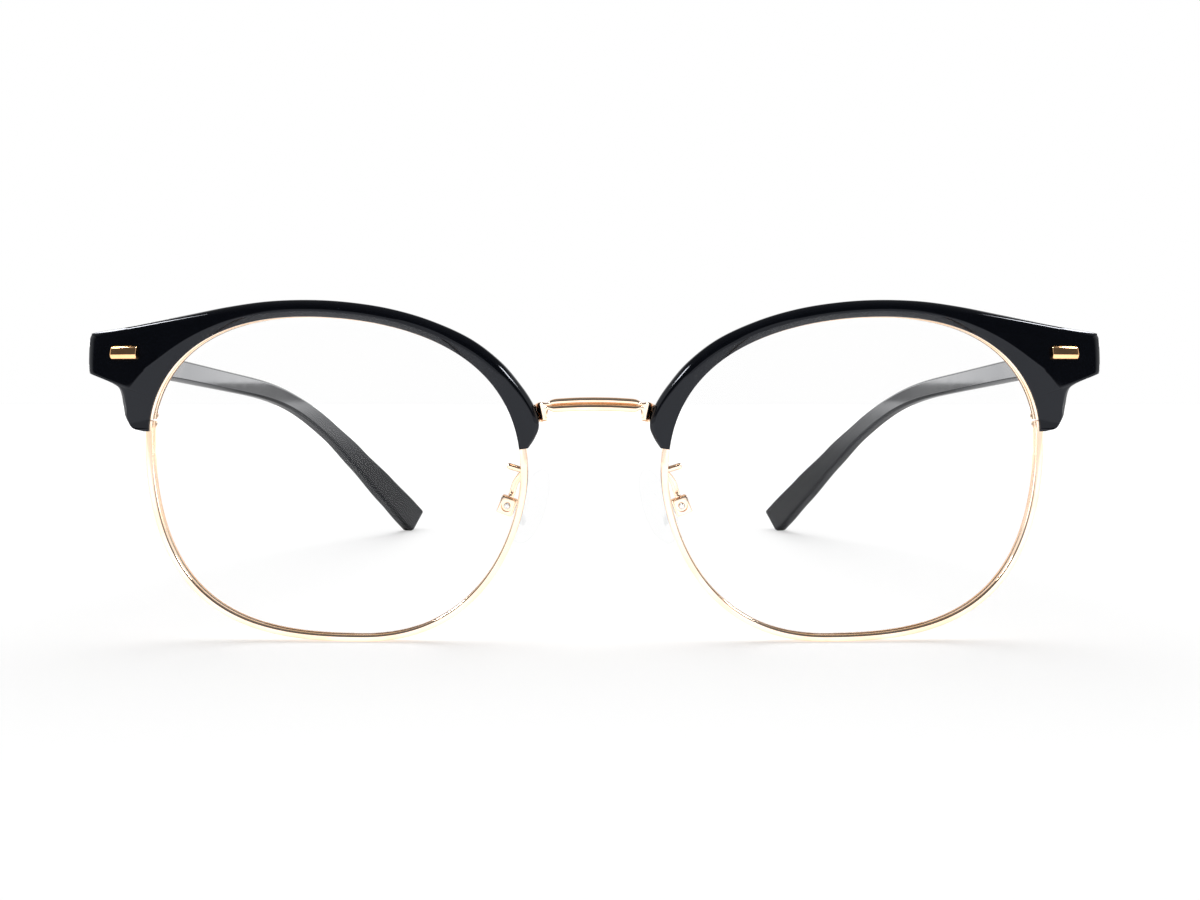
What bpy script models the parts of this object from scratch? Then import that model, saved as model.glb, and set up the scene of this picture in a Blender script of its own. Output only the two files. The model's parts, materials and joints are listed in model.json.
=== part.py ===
# Browline eyeglass frame: gold lens rims and bridge, black brow pieces and temples.
# Metres, +Z up, the front faces -Y, and the rims and both temple tips stand on z = 0.
# Every left-hand piece is modelled at +X, and the right-hand one is its mirror image.

import math

import bmesh
import bpy
from mathutils import Matrix, Vector

# The front: boxed lens size, gap between the lenses and how far the end pieces reach past them.
lens_width = 0.0519
lens_height = 0.0446
bridge_gap = 0.0190
endpiece_reach = 0.0103
front_curve_radius = 0.140
front_wrap_offset = 0.0046

# The eyewire, its lens groove and its split at the closing block.
rim_width = 0.00095
rim_depth = 0.0019
rim_corner = 0.00020
rim_front_round = 0.00035
rim_split_gap = 0.0003
groove_reach = 0.00046
groove_half_height = 0.00026
rim_stations = 80

# The lens, held by its bevel in the groove.
lens_bevel_reach = 0.0004
lens_edge_clearance = 0.00008
lens_thickness = 0.0014

# Clearances between pieces.
seat_gap = 0.00005
running_gap = 0.00006
butt_gap = 0.0003

# The closing block: two halves drawn together by a screw.
lock_width = 0.0015
lock_half_height = 0.0009
lock_depth = 0.0017
lock_reach = 0.00115
lock_edge_round = 0.00018
lock_screw_radius = 0.0004
lock_head_radius = 0.00070
lock_head_height = 0.00045

# The moulded brow piece.
brow_lip_offset = 0.00012
brow_lip_flare = 0.0004
brow_front_rise = 0.0015
brow_lip_rise = 0.00032
brow_back_reach = 0.00175
brow_rim_clearance = 0.00008
brow_edge_round = 0.00045
brow_back_round = 0.0003
endpiece_back_margin = 0.0014
brow_stations_per_span = 2

# Rivet plates on the end pieces.
rivet_plate_length = 0.0040
rivet_plate_height = 0.00165
rivet_plate_thickness = 0.0006
rivet_plate_inset = 0.0053
rivet_pin_radius = 0.00045
rivet_pin_length = 0.0022

# Tabs and screws that hold the brow on the rim.
tab_width = 0.0018
tab_thickness = 0.0005
tab_screw_radius = 0.0004
tab_screw_length = 0.0017
tab_head_radius = 0.00062
tab_head_height = 0.00035

# The three-knuckle hinge.
knuckle_radius = 0.00105
knuckle_outer_height = 0.00095
knuckle_inner_height = 0.0013
knuckle_gap = 0.00008
hinge_plate_thickness = 0.0006
hinge_plate_height = 0.0036
hinge_plate_inner_reach = 0.0023
hinge_plate_outer_reach = 0.0011
hinge_axis_inset = 0.0052
hinge_axis_setback = 0.00185
hinge_web_half_width = 0.0006
hinge_web_trim_share = 0.06
hinge_pin_radius = 0.00045
hinge_head_radius = 0.00075
hinge_head_height = 0.0004
temple_leaf_length = 0.0095
temple_leaf_lead = 0.0013
temple_leaf_thickness = 0.0005
temple_leaf_height = 0.0026
temple_rivet_radius = 0.0004
temple_rivet_length = 0.0014
temple_rivet_head_radius = 0.00058
temple_rivet_head_height = 0.0002

# The temple: its length along the middle, its sections and its bends.
temple_length = 0.141
temple_root_height = 0.0049
temple_root_thickness = 0.0033
temple_waist_height = 0.0034
temple_waist_thickness = 0.0024
temple_tip_height = 0.0070
temple_tip_thickness = 0.0028
temple_edge_round = 0.0007
temple_end_slant = 0.0016
temple_end_round = 0.0008
temple_bend_start = 0.046
temple_bend_length = 0.063
temple_splay = math.radians(5.5)
temple_tip_splay = math.radians(17.5)
temple_drop = math.radians(30.0)
temple_stations = 34

# The bridge bar with its two ridges and the straps that bend back to the rims.
bridge_bar_length = 0.0131
bridge_bar_height = 0.00185
bridge_bar_thickness = 0.0014
bridge_bar_setback = 0.0013
bridge_arch = 0.0003
bridge_height = 0.03245
bridge_strap_height = 0.0025
bridge_strap_drop = 0.0005
bridge_strap_slant = 0.25
bridge_strap_thickness = 0.0008
bridge_neck_height = 0.0009
bridge_seat_reach = 0.0008

# Nose pads, their boxes, screws and arms.
pad_length = 0.0112
pad_width = 0.0066
pad_thickness = 0.0021
pad_drop = 0.0003
pad_reach = 0.00335
pad_step_back = 0.0018
pad_lean = math.radians(21.0)
pad_splay = math.radians(32.0)
pad_mount_length = 0.0056
pad_mount_width = 0.0036
pad_mount_thickness = 0.0005
pad_eye_thickness = 0.0007
pad_stem_share = 0.85
pad_eye_radius = 0.00068
pad_box_inset = 0.01235
pad_box_height = 0.0183
pad_box_setback = 0.0072
pad_box_width = 0.0023
pad_box_length = 0.0025
pad_box_depth = 0.0024
pad_box_wall = 0.0004
pad_screw_radius = 0.00032
pad_screw_head_radius = 0.00078
pad_screw_head_height = 0.00045
screw_slot_width = 0.00022
screw_slot_depth = 0.0002
arm_radius = 0.00042
arm_foot_rise = 0.0051
arm_tail_reach = 0.0024

# Cutters run this far past what they cut.
cut_overrun = 0.0005

# The lens outline: four extreme points as shares of the half width and half height of the
# visible opening (nose side positive), and the handle lengths as shares of the way between them.
nasal_shares = (0.9904, 0.0389)
top_shares = (-0.1795, 1.0183)
temporal_shares = (-1.0224, 0.3086)
bottom_shares = (0.1472, -0.981)
leaving_handle_shares = (0.859, 0.884, 0.930, 0.811)
arriving_handle_shares = (0.349, 0.234, 0.491, 0.260)
rim_split_share = 1.905

# The brow's outer edge from the nose tip over the top to the temple tip. The first value runs
# from -1 to 1 over the lens opening and from 1 to 2 over the end piece, and the second is a
# share of the opening's half height. The third is how much of the front slopes to the lens.
brow_outline_shares = (
    (-1.0330, 0.1966, 0.70),
    (-1.0617, 0.2469, 0.80),
    (-1.0872, 0.3155, 0.76),
    (-1.0852, 0.3887, 0.72),
    (-1.0578, 0.4710, 0.66),
    (-0.9951, 0.5853, 0.56),
    (-0.8854, 0.7362, 0.46),
    (-0.7209, 0.8825, 0.38),
    (-0.5054, 0.9968, 0.33),
    (-0.2899, 1.0700, 0.31),
    (-0.0705, 1.1111, 0.30),
    (0.1410, 1.1271, 0.30),
    (0.3683, 1.1203, 0.30),
    (0.5877, 1.0883, 0.28),
    (0.8149, 1.0402, 0.24),
    (1.3747, 0.9648, 0.22),
    (1.9206, 0.9122, 0.25),
    (1.9901, 0.8825, 0.33),
    (2.0000, 0.7773, 0.48),
    (1.9901, 0.6859, 0.58),
    (1.9305, 0.6607, 0.62),
    (1.6500, 0.6080, 0.72),
    (1.5236, 0.5624, 0.79),
    (1.4690, 0.4664, 0.80),
    (1.4342, 0.3887, 0.80),
    (1.3350, 0.3201, 0.80),
    (1.1762, 0.2972, 0.80),
)
endpiece_middle_share = 0.781

# How the brow's section is shaped: its heights as parts of the front's rise, the widest lip as a
# part of the width, where the end piece's flat back blends in across and upwards as parts of the
# half opening, and how far the back's flat starts from the step. Between the two tip levels the
# front falls to the tip share of its rise.
brow_ridge_share = 0.96
brow_tip_share = 0.45
brow_tip_levels = (0.25, 0.69)
brow_shoulder_share = 0.86
brow_edge_share = 0.52
brow_side_share = 0.20
brow_lip_share = 0.4
seat_across_shares = (0.78, 1.07)
seat_upward_shares = (0.42, 0.66)
brow_flat_share = 0.22

# Places along the rim, counted in quarters from the nose point over the top.
tab_shares = (0.62, 1.24)
brow_last_share = 2.2

# Screw ends, rivet heads and the places of the pins on their plates.
screw_point_share = 0.7
rivet_pin_share = 1.8
rivet_bevel_share = 0.8
rivet_head_share = 0.7
temple_rivet_shares = (0.42, 0.84)

# How the temple's height, thickness and edge rounding run along its length: the share of the
# length, then the blend from root to waist, then from waist to tip.
temple_height_shares = (
    (0.00, 0.00, 0.00), (0.08, 0.62, 0.00), (0.17, 0.96, 0.00), (0.30, 1.00, 0.00),
    (0.52, 1.00, 0.00), (0.66, 1.00, 0.14), (0.76, 1.00, 0.42), (0.88, 1.00, 0.80),
    (0.97, 1.00, 1.00), (1.00, 1.00, 1.00),
)

# The temple's edge rounding as a part of its half thickness, the share of the length where its
# end slants, and the two rings that draw its end in, as shares of the end's rounding.
temple_soft_share = 0.6
temple_slant_share = 0.9
temple_end_shares = ((0.30, 0.75), (0.75, 1.0))

# The bridge section: shares of the half height and of the thickness, the front crest at 0.
bridge_section_shares = (
    (-1.00, 0.50), (-0.88, 0.16), (-0.52, 0.00), (-0.10, 0.10), (0.08, 0.36), (0.24, 0.12),
    (0.58, 0.00), (0.88, 0.16), (1.00, 0.50), (1.00, 0.80), (0.80, 1.00), (-0.80, 1.00),
    (-1.00, 0.80),
)
strap_section_shares = (
    (-1.00, 0.35), (-0.90, 0.05), (-0.52, 0.00), (-0.10, 0.00), (0.08, 0.00), (0.24, 0.00),
    (0.58, 0.00), (0.90, 0.05), (1.00, 0.35), (1.00, 0.75), (0.90, 1.00), (-0.90, 1.00),
    (-1.00, 0.75),
)

# Half the bridge, bar first: share of the bar's half length and the bar's height there.
bar_shares = ((0.00, 1.00), (0.34, 1.00), (0.66, 0.99), (0.84, 0.96), (0.92, 0.76), (0.98, 0.50))

# The strap: shares of the way across and back from the bar's end to the rim, then of its height.
strap_shares = (
    (0.06, 0.03, 0.45),
    (0.125, 0.12, 0.90),
    (0.165, 0.34, 1.00),
    (0.185, 0.66, 1.00),
    (0.23, 0.98, 1.00),
    (0.36, 1.12, 1.00),
    (0.62, 1.06, 1.00),
    (1.00, 1.00, 1.00),
)

# The bar keeps its full section down to this share of its height.
bar_full_share = 0.9
bar_thin_share = 0.6

# The pad's rings, back to front: the share of the outline and of the thickness. Its lower half
# is wider than its upper half by twice the narrowing.
pad_ring_shares = (
    (0.62, -0.50), (0.92, -0.38), (1.00, -0.05), (0.90, 0.28), (0.62, 0.46), (0.25, 0.50),
)
pad_narrow_share = 0.16

# The pad arm's bends: parts of the way from the rim to above the box, and wire radii over it.
arm_tail_share = 0.5
arm_bend_shares = ((0.20, 0.40, 0.10), (0.72, 0.74, 0.52))
arm_rise_shares = (1.7, 0.25)

# Facets round small pins, bores, screw heads, knuckles and the pads, and steps of a search.
pin_sides = 10
bore_sides = 12
head_sides = 14
eye_sides = 16
knuckle_sides = 20
pad_sides = 18
arm_sides = 8
arm_steps = 18
search_steps = 45
share_step = 0.001
sharp_angle = math.radians(32)

# Worked out from the sizes above.
opening_half_width = lens_width / 2 - lens_bevel_reach
opening_half_height = lens_height / 2 - lens_bevel_reach
lens_centre_x = bridge_gap / 2 + lens_width / 2
lens_centre_z = rim_width - bottom_shares[1] * opening_half_height
curve_centre_x = lens_centre_x - front_wrap_offset
endpiece_x = lens_centre_x + opening_half_width + endpiece_reach
endpiece_z = lens_centre_z + endpiece_middle_share * opening_half_height
wall_reach = rim_width + brow_rim_clearance

black_plastic = ("black_plastic", (0.012, 0.013, 0.016), 0.12, 0.0)
gold_metal = ("gold_metal", (0.86, 0.66, 0.44), 0.22, 1.0)
steel_metal = ("steel_metal", (0.72, 0.71, 0.70), 0.25, 1.0)
clear_glass = ("clear_glass", (0.95, 0.97, 0.98), 0.03, 0.0)
clear_insert = ("clear_insert", (0.95, 0.96, 0.97), 0.08, 0.0)
clear_rubber = ("clear_rubber", (0.93, 0.94, 0.94), 0.30, 0.0)


def clear_scene():
    for existing in list(bpy.data.objects):
        bpy.data.objects.remove(existing, do_unlink=True)


def finish_material(finish):
    name, colour, roughness, metallic = finish
    material = bpy.data.materials.get(name)
    if material is None:
        material = bpy.data.materials.new(name)
        material.use_nodes = True
        shader = material.node_tree.nodes["Principled BSDF"]
        shader.inputs["Base Color"].default_value = (*colour, 1.0)
        shader.inputs["Roughness"].default_value = roughness
        shader.inputs["Metallic"].default_value = metallic
    return material


def front_depth(x, z):
    # How far the front's curved surface lies behind its foremost point.
    across = abs(x) - curve_centre_x
    up = z - lens_centre_z
    return front_curve_radius - math.sqrt(front_curve_radius ** 2 - across ** 2 - up ** 2)


def blend(low, high, share):
    return low + (high - low) * share


def smooth_step(share):
    share = min(max(share, 0.0), 1.0)
    return share * share * (3.0 - 2.0 * share)


def ramp(value, limits):
    return smooth_step((value - limits[0]) / (limits[1] - limits[0]))


def table_value(table, share, column):
    # The value at a share of the way, read between the rows of a table.
    for before, after in zip(table, table[1:]):
        if share <= after[0]:
            part = smooth_step((share - before[0]) / (after[0] - before[0]))
            return blend(before[column], after[column], part)
    return table[-1][column]


def spline_point(points, position):
    # A smooth curve through the points. position counts the spans from the first point.
    span = min(int(position), len(points) - 2)
    part = position - span
    first = points[span]
    second = points[span + 1]
    leaving = (second - points[span - 1]) / 2 if span > 0 else second - first
    arriving = (points[span + 2] - first) / 2 if span + 2 < len(points) else second - first
    square = part * part
    cube = square * part
    return (first * (2 * cube - 3 * square + 1) + leaving * (cube - 2 * square + part)
            + second * (3 * square - 2 * cube) + arriving * (cube - square))


def opening_corners():
    knots = []
    for across, up in (nasal_shares, top_shares, temporal_shares, bottom_shares):
        knots.append(Vector((across * opening_half_width, up * opening_half_height)))
    return knots


def opening_quarter(quarter):
    # The four control points of one quarter of the lens opening.
    knots = opening_corners()
    start = knots[quarter]
    end = knots[(quarter + 1) % 4]
    way = end - start
    upright_first = quarter % 2 == 0
    leaving = Vector((0, way.y)) if upright_first else Vector((way.x, 0))
    arriving = Vector((way.x, 0)) if upright_first else Vector((0, way.y))
    return (start, start + leaving * leaving_handle_shares[quarter],
            end - arriving * arriving_handle_shares[quarter], end)


opening_quarters = [opening_quarter(quarter) for quarter in range(4)]


def opening_edge(turn):
    # A point of the visible lens opening and the direction outwards, both in the lens plane.
    quarter = int(turn) % 4
    part = turn - int(turn)
    start, leaving, arriving, end = opening_quarters[quarter]
    rest = 1.0 - part
    point = (start * rest ** 3 + leaving * (3 * rest * rest * part)
             + arriving * (3 * rest * part * part) + end * part ** 3)
    along = ((leaving - start) * (rest * rest) + (arriving - leaving) * (2 * rest * part)
             + (end - arriving) * (part * part))
    along.normalize()
    return point, Vector((along.y, -along.x))


def plane_to_front(point, back):
    # From the lens plane to the left side of the frame, back metres behind the curved front.
    x = lens_centre_x - point.x
    z = lens_centre_z + point.y
    return Vector((x, front_depth(x, z) + back, z))


def rim_point(turn, out, back):
    point, outwards = opening_edge(turn)
    return plane_to_front(point + outwards * out, back)


def rim_frame(turn, out, back):
    # A frame on the rim's curved surface: X outwards, Y along the rim, Z backwards.
    reach_step = rim_width * share_step
    origin = rim_point(turn, out, back)
    outwards = (rim_point(turn, out + reach_step, back) - origin).normalized()
    along = rim_point(turn + share_step, out, back) - origin
    along = (along - outwards * along.dot(outwards)).normalized()
    backwards = outwards.cross(along)
    if backwards.y < 0:
        along = -along
        backwards = -backwards
    return frame_matrix(origin, outwards, along, backwards)


def frame_matrix(origin, first, second, third):
    matrix = Matrix((first, second, third)).transposed().to_4x4()
    matrix.translation = origin
    return matrix


def opening_foot(target):
    # Where a line square to the lens opening meets the target, as a turn and a distance.
    low, high = 0.0, brow_last_share
    for step in range(search_steps):
        middle = (low + high) / 2
        point, outwards = opening_edge(middle)
        along = Vector((-outwards.y, outwards.x))
        if (target - point).dot(along) > 0:
            low = middle
        else:
            high = middle
    point, outwards = opening_edge(low)
    return low, (target - point).dot(outwards)


def loft(rings, closed=False):
    # A skin over rings of points, closed on itself or capped at both ends.
    shape = bmesh.new()
    loops = [[shape.verts.new(point) for point in ring] for ring in rings]
    count = len(loops[0])
    pairs = list(zip(loops, loops[1:]))
    if closed:
        pairs.append((loops[-1], loops[0]))
    for before, after in pairs:
        for index in range(count):
            following = (index + 1) % count
            shape.faces.new((before[index], before[following], after[following], after[index]))
    if not closed:
        shape.faces.new(loops[0])
        shape.faces.new(loops[-1])
    return shape


def turned(profile, sides, matrix):
    # A solid of revolution about the frame's Z axis. The profile holds (radius, height) pairs
    # from one end of the axis to the other, both ends at radius zero.
    shape = bmesh.new()
    rings = []
    for radius, height in profile:
        if radius == 0:
            rings.append([shape.verts.new((0, 0, height))])
            continue
        ring = []
        for side in range(sides):
            angle = 2 * math.pi * side / sides
            ring.append(shape.verts.new((radius * math.cos(angle), radius * math.sin(angle), height)))
        rings.append(ring)
    for before, after in zip(rings, rings[1:]):
        for side in range(sides):
            following = (side + 1) % sides
            corners = [before[side % len(before)], before[following % len(before)],
                       after[following % len(after)], after[side % len(after)]]
            unique = list(dict.fromkeys(corners))
            shape.faces.new(unique)
    bmesh.ops.transform(shape, matrix=matrix, verts=shape.verts)
    return shape


def cylinder(radius, low, high, sides, matrix):
    return turned(((0, low), (radius, low), (radius, high), (0, high)), sides, matrix)


def block(low, high, matrix, edge_round=0):
    # A box between two corners of a frame, with its edges bevelled if wanted.
    shape = bmesh.new()
    bmesh.ops.create_cube(shape, size=1.0)
    size = [top - bottom for bottom, top in zip(low, high)]
    middle = [(top + bottom) / 2 for bottom, top in zip(low, high)]
    bmesh.ops.scale(shape, vec=size, verts=shape.verts)
    bmesh.ops.translate(shape, vec=middle, verts=shape.verts)
    if edge_round:
        bmesh.ops.bevel(shape, geom=list(shape.edges), offset=edge_round, segments=1, affect='EDGES')
    bmesh.ops.transform(shape, matrix=matrix, verts=shape.verts)
    return shape


def tube(points, radius, sides):
    # A round wire along points, with flat ends.
    rings = []
    side_way = None
    for index, point in enumerate(points):
        before = points[max(index - 1, 0)]
        after = points[min(index + 1, len(points) - 1)]
        along = (after - before).normalized()
        if side_way is None:
            side_way = along.orthogonal().normalized()
        side_way = (side_way - along * side_way.dot(along)).normalized()
        other_way = along.cross(side_way)
        ring = []
        for side in range(sides):
            angle = 2 * math.pi * side / sides
            ring.append(point + (side_way * math.cos(angle) + other_way * math.sin(angle)) * radius)
        rings.append(ring)
    return loft(rings)


def solid_object(name, shape):
    # A plain object from a shape, faces turned outwards. The shape is used up.
    bmesh.ops.recalc_face_normals(shape, faces=shape.faces)
    mesh = bpy.data.meshes.new(name)
    shape.to_mesh(mesh)
    shape.free()
    made = bpy.data.objects.new(name, mesh)
    bpy.context.scene.collection.objects.link(made)
    return made


def combine(base, tool, operation):
    # The union or difference of two shapes.
    base_object = solid_object("base", base)
    tool_object = solid_object("tool", tool)
    modifier = base_object.modifiers.new("combine", 'BOOLEAN')
    modifier.operation = operation
    modifier.solver = 'EXACT'
    modifier.object = tool_object
    depsgraph = bpy.context.evaluated_depsgraph_get()
    result = bmesh.new()
    result.from_object(base_object, depsgraph)
    for used in (base_object, tool_object):
        mesh = used.data
        bpy.data.objects.remove(used, do_unlink=True)
        bpy.data.meshes.remove(mesh)
    bmesh.ops.remove_doubles(result, verts=result.verts, dist=running_gap / 100)
    return result


def place(name, shape, finish, holder, side):
    # Adds a piece to the scene on its holder, mirrored for the right side.
    if side < 0:
        bmesh.ops.scale(shape, vec=(-1, 1, 1), verts=shape.verts)
    bmesh.ops.transform(shape, matrix=holder.matrix_world.inverted(), verts=shape.verts)
    made = solid_object(name, shape)
    made.data.materials.append(finish_material(finish))
    made.data.shade_smooth()
    made.data.set_sharp_from_angle(angle=sharp_angle)
    made.parent = holder
    return made


def holder_at(name, matrix, parent=None):
    holder = bpy.data.objects.new(name, None)
    bpy.context.scene.collection.objects.link(holder)
    holder.parent = parent
    holder.matrix_world = matrix
    bpy.context.view_layer.update()
    return holder


def rim_turns():
    # The places of the rim's stations, from one side of the split round to the other.
    first = rim_point(rim_split_share, 0, 0)
    speed = (rim_point(rim_split_share + share_step, 0, 0) - first).length / share_step
    half_gap = rim_split_gap / 2 / speed
    span = 4.0 - 2 * half_gap
    start = rim_split_share + half_gap
    return [start + span * index / (rim_stations - 1) for index in range(rim_stations)]


def rim_section():
    # The eyewire's section as (out from the opening, back from the front crown).
    middle = rim_depth / 2
    return ((0, rim_front_round), (rim_corner, rim_corner / 2), (rim_width / 2, 0),
            (rim_width - rim_corner, rim_corner / 2), (rim_width, rim_front_round),
            (rim_width, rim_depth - rim_corner), (rim_width - rim_corner, rim_depth),
            (rim_corner, rim_depth), (0, rim_depth - rim_corner),
            (0, middle + groove_half_height), (groove_reach, middle), (0, middle - groove_half_height))


def rim_shape():
    rings = []
    for turn in rim_turns():
        rings.append([rim_point(turn, out, back) for out, back in rim_section()])
    return loft(rings)


def lens_shape():
    # A thin curved disc with a ridge round its edge. It shares every other rim station.
    middle = rim_depth / 2
    turns = rim_turns()[::2]
    front = middle - lens_thickness / 2
    back = middle + lens_thickness / 2
    ridge = groove_half_height - lens_edge_clearance
    reach = groove_reach - lens_edge_clearance
    profile = ((0.5, 0, front), (1.0, -lens_edge_clearance, front),
               (1.0, -lens_edge_clearance, middle - ridge), (1.0, reach, middle),
               (1.0, -lens_edge_clearance, middle + ridge), (1.0, -lens_edge_clearance, back),
               (0.5, 0, back))
    shape = bmesh.new()
    loops = []
    for share, out, level in profile:
        loop = []
        for turn in turns:
            point, outwards = opening_edge(turn)
            loop.append(shape.verts.new(plane_to_front((point + outwards * out) * share, level)))
        loops.append(loop)
    for before, after in zip(loops, loops[1:]):
        for index in range(len(turns)):
            following = (index + 1) % len(turns)
            shape.faces.new((before[index], before[following], after[following], after[index]))
    for loop, level in ((loops[0], front), (loops[-1], back)):
        centre = shape.verts.new(plane_to_front(Vector((0, 0)), level))
        for index in range(len(turns)):
            shape.faces.new((loop[index], loop[(index + 1) % len(turns)], centre))
    return shape


def lock_screw_frame():
    # The closing block's screw axis: X outwards, Y backwards, Z up along the rim.
    frame = rim_frame(rim_split_share, lock_reach, rim_depth + seat_gap)
    origin = frame.translation + frame.col[2].to_3d() * (lock_depth / 2)
    outwards = frame.col[0].to_3d()
    upwards = frame.col[1].to_3d()
    backwards = frame.col[2].to_3d()
    if upwards.z < 0:
        upwards = -upwards
    return frame_matrix(origin, outwards, backwards, upwards)


def lock_half_shape(way):
    # One half of the closing block, above or below the split.
    frame = lock_screw_frame()
    near = rim_split_gap / 2
    far = near + lock_half_height
    low_z, high_z = (near, far) if way > 0 else (-far, -near)
    half = block((-lock_width / 2, -lock_depth / 2, low_z), (lock_width / 2, lock_depth / 2, high_z),
                 frame, lock_edge_round)
    bore = cylinder(lock_screw_radius + running_gap, -far - cut_overrun, far + cut_overrun,
                    bore_sides, frame)
    return combine(half, bore, 'DIFFERENCE')


def slotted_screw(radius, head_radius, head_height, length, frame, sides):
    # A screw whose head stands above the frame's origin and whose shank runs below it.
    crown = head_height / 4
    profile = ((0, -length), (radius * screw_point_share, -length), (radius, -length + radius / 2), (radius, 0),
               (head_radius, 0), (head_radius, head_height - crown),
               (head_radius - crown, head_height), (0, head_height))
    screw = turned(profile, sides, frame)
    slot = block((-screw_slot_width / 2, -head_radius - cut_overrun, head_height - screw_slot_depth),
                 (screw_slot_width / 2, head_radius + cut_overrun, head_height + cut_overrun), frame)
    return combine(screw, slot, 'DIFFERENCE')


def lock_screw_shape():
    frame = lock_screw_frame()
    top = rim_split_gap / 2 + lock_half_height + seat_gap
    lift = Matrix.Translation((0, 0, top))
    length = top + rim_split_gap / 2 + lock_half_height
    return slotted_screw(lock_screw_radius, lock_head_radius, lock_head_height, length,
                         frame @ lift, pin_sides)


def brow_outline_points():
    points = []
    for across, up, slope in brow_outline_shares:
        over = max(across - 1.0, 0.0)
        x = -min(across, 1.0) * opening_half_width - over * endpiece_reach
        points.append(Vector((x, up * opening_half_height, slope)))
    return points


def seat_depth():
    # The flat back of the end piece, which carries the hinge.
    return front_depth(endpiece_x, endpiece_z) + endpiece_back_margin


def seat_share(point):
    # How far the brow's back has turned into the end piece's flat back.
    across = ramp((point.x - lens_centre_x) / opening_half_width, seat_across_shares)
    return across * ramp((point.z - lens_centre_z) / opening_half_height, seat_upward_shares)


def brow_section(outline_point):
    # One section of the brow, square to the lens opening: the sloped lip over the rim, the
    # crowned front, the rounded outer edge, the back, and the step that holds the rim.
    turn, width = opening_foot(Vector((outline_point.x, outline_point.y)))
    slope = outline_point.z
    lip = min(brow_lip_offset + brow_lip_flare * abs(turn - 1.0) / 2, width * brow_lip_share)
    span = width - lip
    low, high = brow_tip_levels
    level = min(max((outline_point.y / opening_half_height - low) / (high - low), 0.0), 1.0)
    rise = brow_front_rise * blend(brow_tip_share, 1.0, level) * min(1.0, span / (2 * wall_reach))
    edge_round = min(brow_edge_round, span / 3)
    back_round = min(brow_back_round, span / 4)
    ridge = lip + span * slope
    shoulder = max(width - edge_round, ridge + (width - ridge) / 3)
    crown = (ridge + shoulder) / 2
    has_body = width > wall_reach + rim_width / 3
    wall = wall_reach if has_body else min(wall_reach, width - back_round)
    back = brow_back_reach if has_body else 0
    flat_start = blend(wall, width - back_round, brow_flat_share)

    def at(out, behind):
        return rim_point(turn, out, behind)

    def at_back(out, behind):
        point = at(out, behind)
        if has_body:
            point.y = blend(point.y, seat_depth(), seat_share(point))
        return point

    return [at(lip, -brow_lip_rise), at(ridge, -rise * brow_ridge_share), at(crown, -rise),
            at(shoulder, -rise * brow_shoulder_share),
            at(width - edge_round / 5, -rise * brow_edge_share),
            at(width, -rise * brow_side_share),
            at_back(width, blend(-rise * brow_side_share / 2, back, 1.0 - brow_side_share)),
            at_back(width - back_round, back), at_back(flat_start, back),
            at(wall + (back_round if has_body else 0) / 2, back - (0 if has_body else seat_gap)),
            at(wall, back - back_round / 2 if has_body else -2 * seat_gap),
            at(wall, -seat_gap - (0 if has_body else 2 * seat_gap)), at(lip, -seat_gap)]


def brow_shape():
    points = brow_outline_points()
    spans = len(points) - 1
    count = spans * brow_stations_per_span
    rings = []
    for index in range(count + 1):
        position = index / brow_stations_per_span
        rings.append(brow_section(spline_point(points, position)))
    brow = loft(rings)
    for frame in rivet_frames():
        hole = cylinder(rivet_pin_radius + running_gap, -rivet_pin_length - seat_gap,
                        brow_front_rise, bore_sides, frame)
        brow = combine(brow, hole, 'DIFFERENCE')
    for turn in tab_shares:
        frame = tab_frame(turn)
        hole = cylinder(tab_screw_radius + running_gap, -tab_screw_length - seat_gap,
                        cut_overrun, bore_sides, frame @ Matrix.Translation(tab_screw_place()))
        brow = combine(brow, hole, 'DIFFERENCE')
    return brow


def rivet_plate_frame():
    # The plate's seat on the end piece: X along the plate, Y up, Z out of the front.
    x = endpiece_x - rivet_plate_inset
    z = endpiece_z
    step = rivet_plate_height / 10
    origin = Vector((x, front_depth(x, z) - brow_front_rise - seat_gap, z))
    along = Vector((step, front_depth(x + step, z) - front_depth(x, z), 0)).normalized()
    upwards = Vector((0, 0, 1))
    outwards = along.cross(upwards)
    if outwards.y > 0:
        outwards = -outwards
    return frame_matrix(origin, along, upwards, outwards)


def rivet_frames():
    frame = rivet_plate_frame()
    spread = rivet_plate_length / 2 - rivet_pin_radius * rivet_pin_share
    return [frame @ Matrix.Translation((way * spread, 0, 0)) for way in (-1, 1)]


def rivet_plate_shape():
    frame = rivet_plate_frame()
    half_length = rivet_plate_length / 2
    half_height = rivet_plate_height / 2
    rise = rivet_plate_thickness
    bevel = rise / 2
    rings = []
    for inset, level in ((0, 0), (0, rise - bevel), (bevel * rivet_bevel_share, rise)):
        across = half_length - inset
        up = half_height - inset
        corners = ((-across, -up), (across, -up), (across, up), (-across, up))
        rings.append([frame @ Vector((x, y, level)) for x, y in corners])
    plate = loft(rings)
    for pin_frame in rivet_frames():
        pin = cylinder(rivet_pin_radius, -rivet_pin_length, bevel, bore_sides, pin_frame)
        plate = combine(plate, pin, 'UNION')
    return plate


def tab_frame(turn):
    return rim_frame(turn, 0, rim_depth + seat_gap)


def tab_screw_place():
    return Vector((wall_reach + tab_screw_radius * 2, 0, 0))


def brow_tab_shape(turn):
    frame = tab_frame(turn)
    end = tab_screw_place().x + tab_head_radius
    tab = block((rim_corner, -tab_width / 2, 0), (end, tab_width / 2, tab_thickness), frame)
    bore = cylinder(tab_screw_radius + running_gap, -cut_overrun, tab_thickness + cut_overrun,
                    bore_sides, frame @ Matrix.Translation(tab_screw_place()))
    return combine(tab, bore, 'DIFFERENCE')


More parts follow.
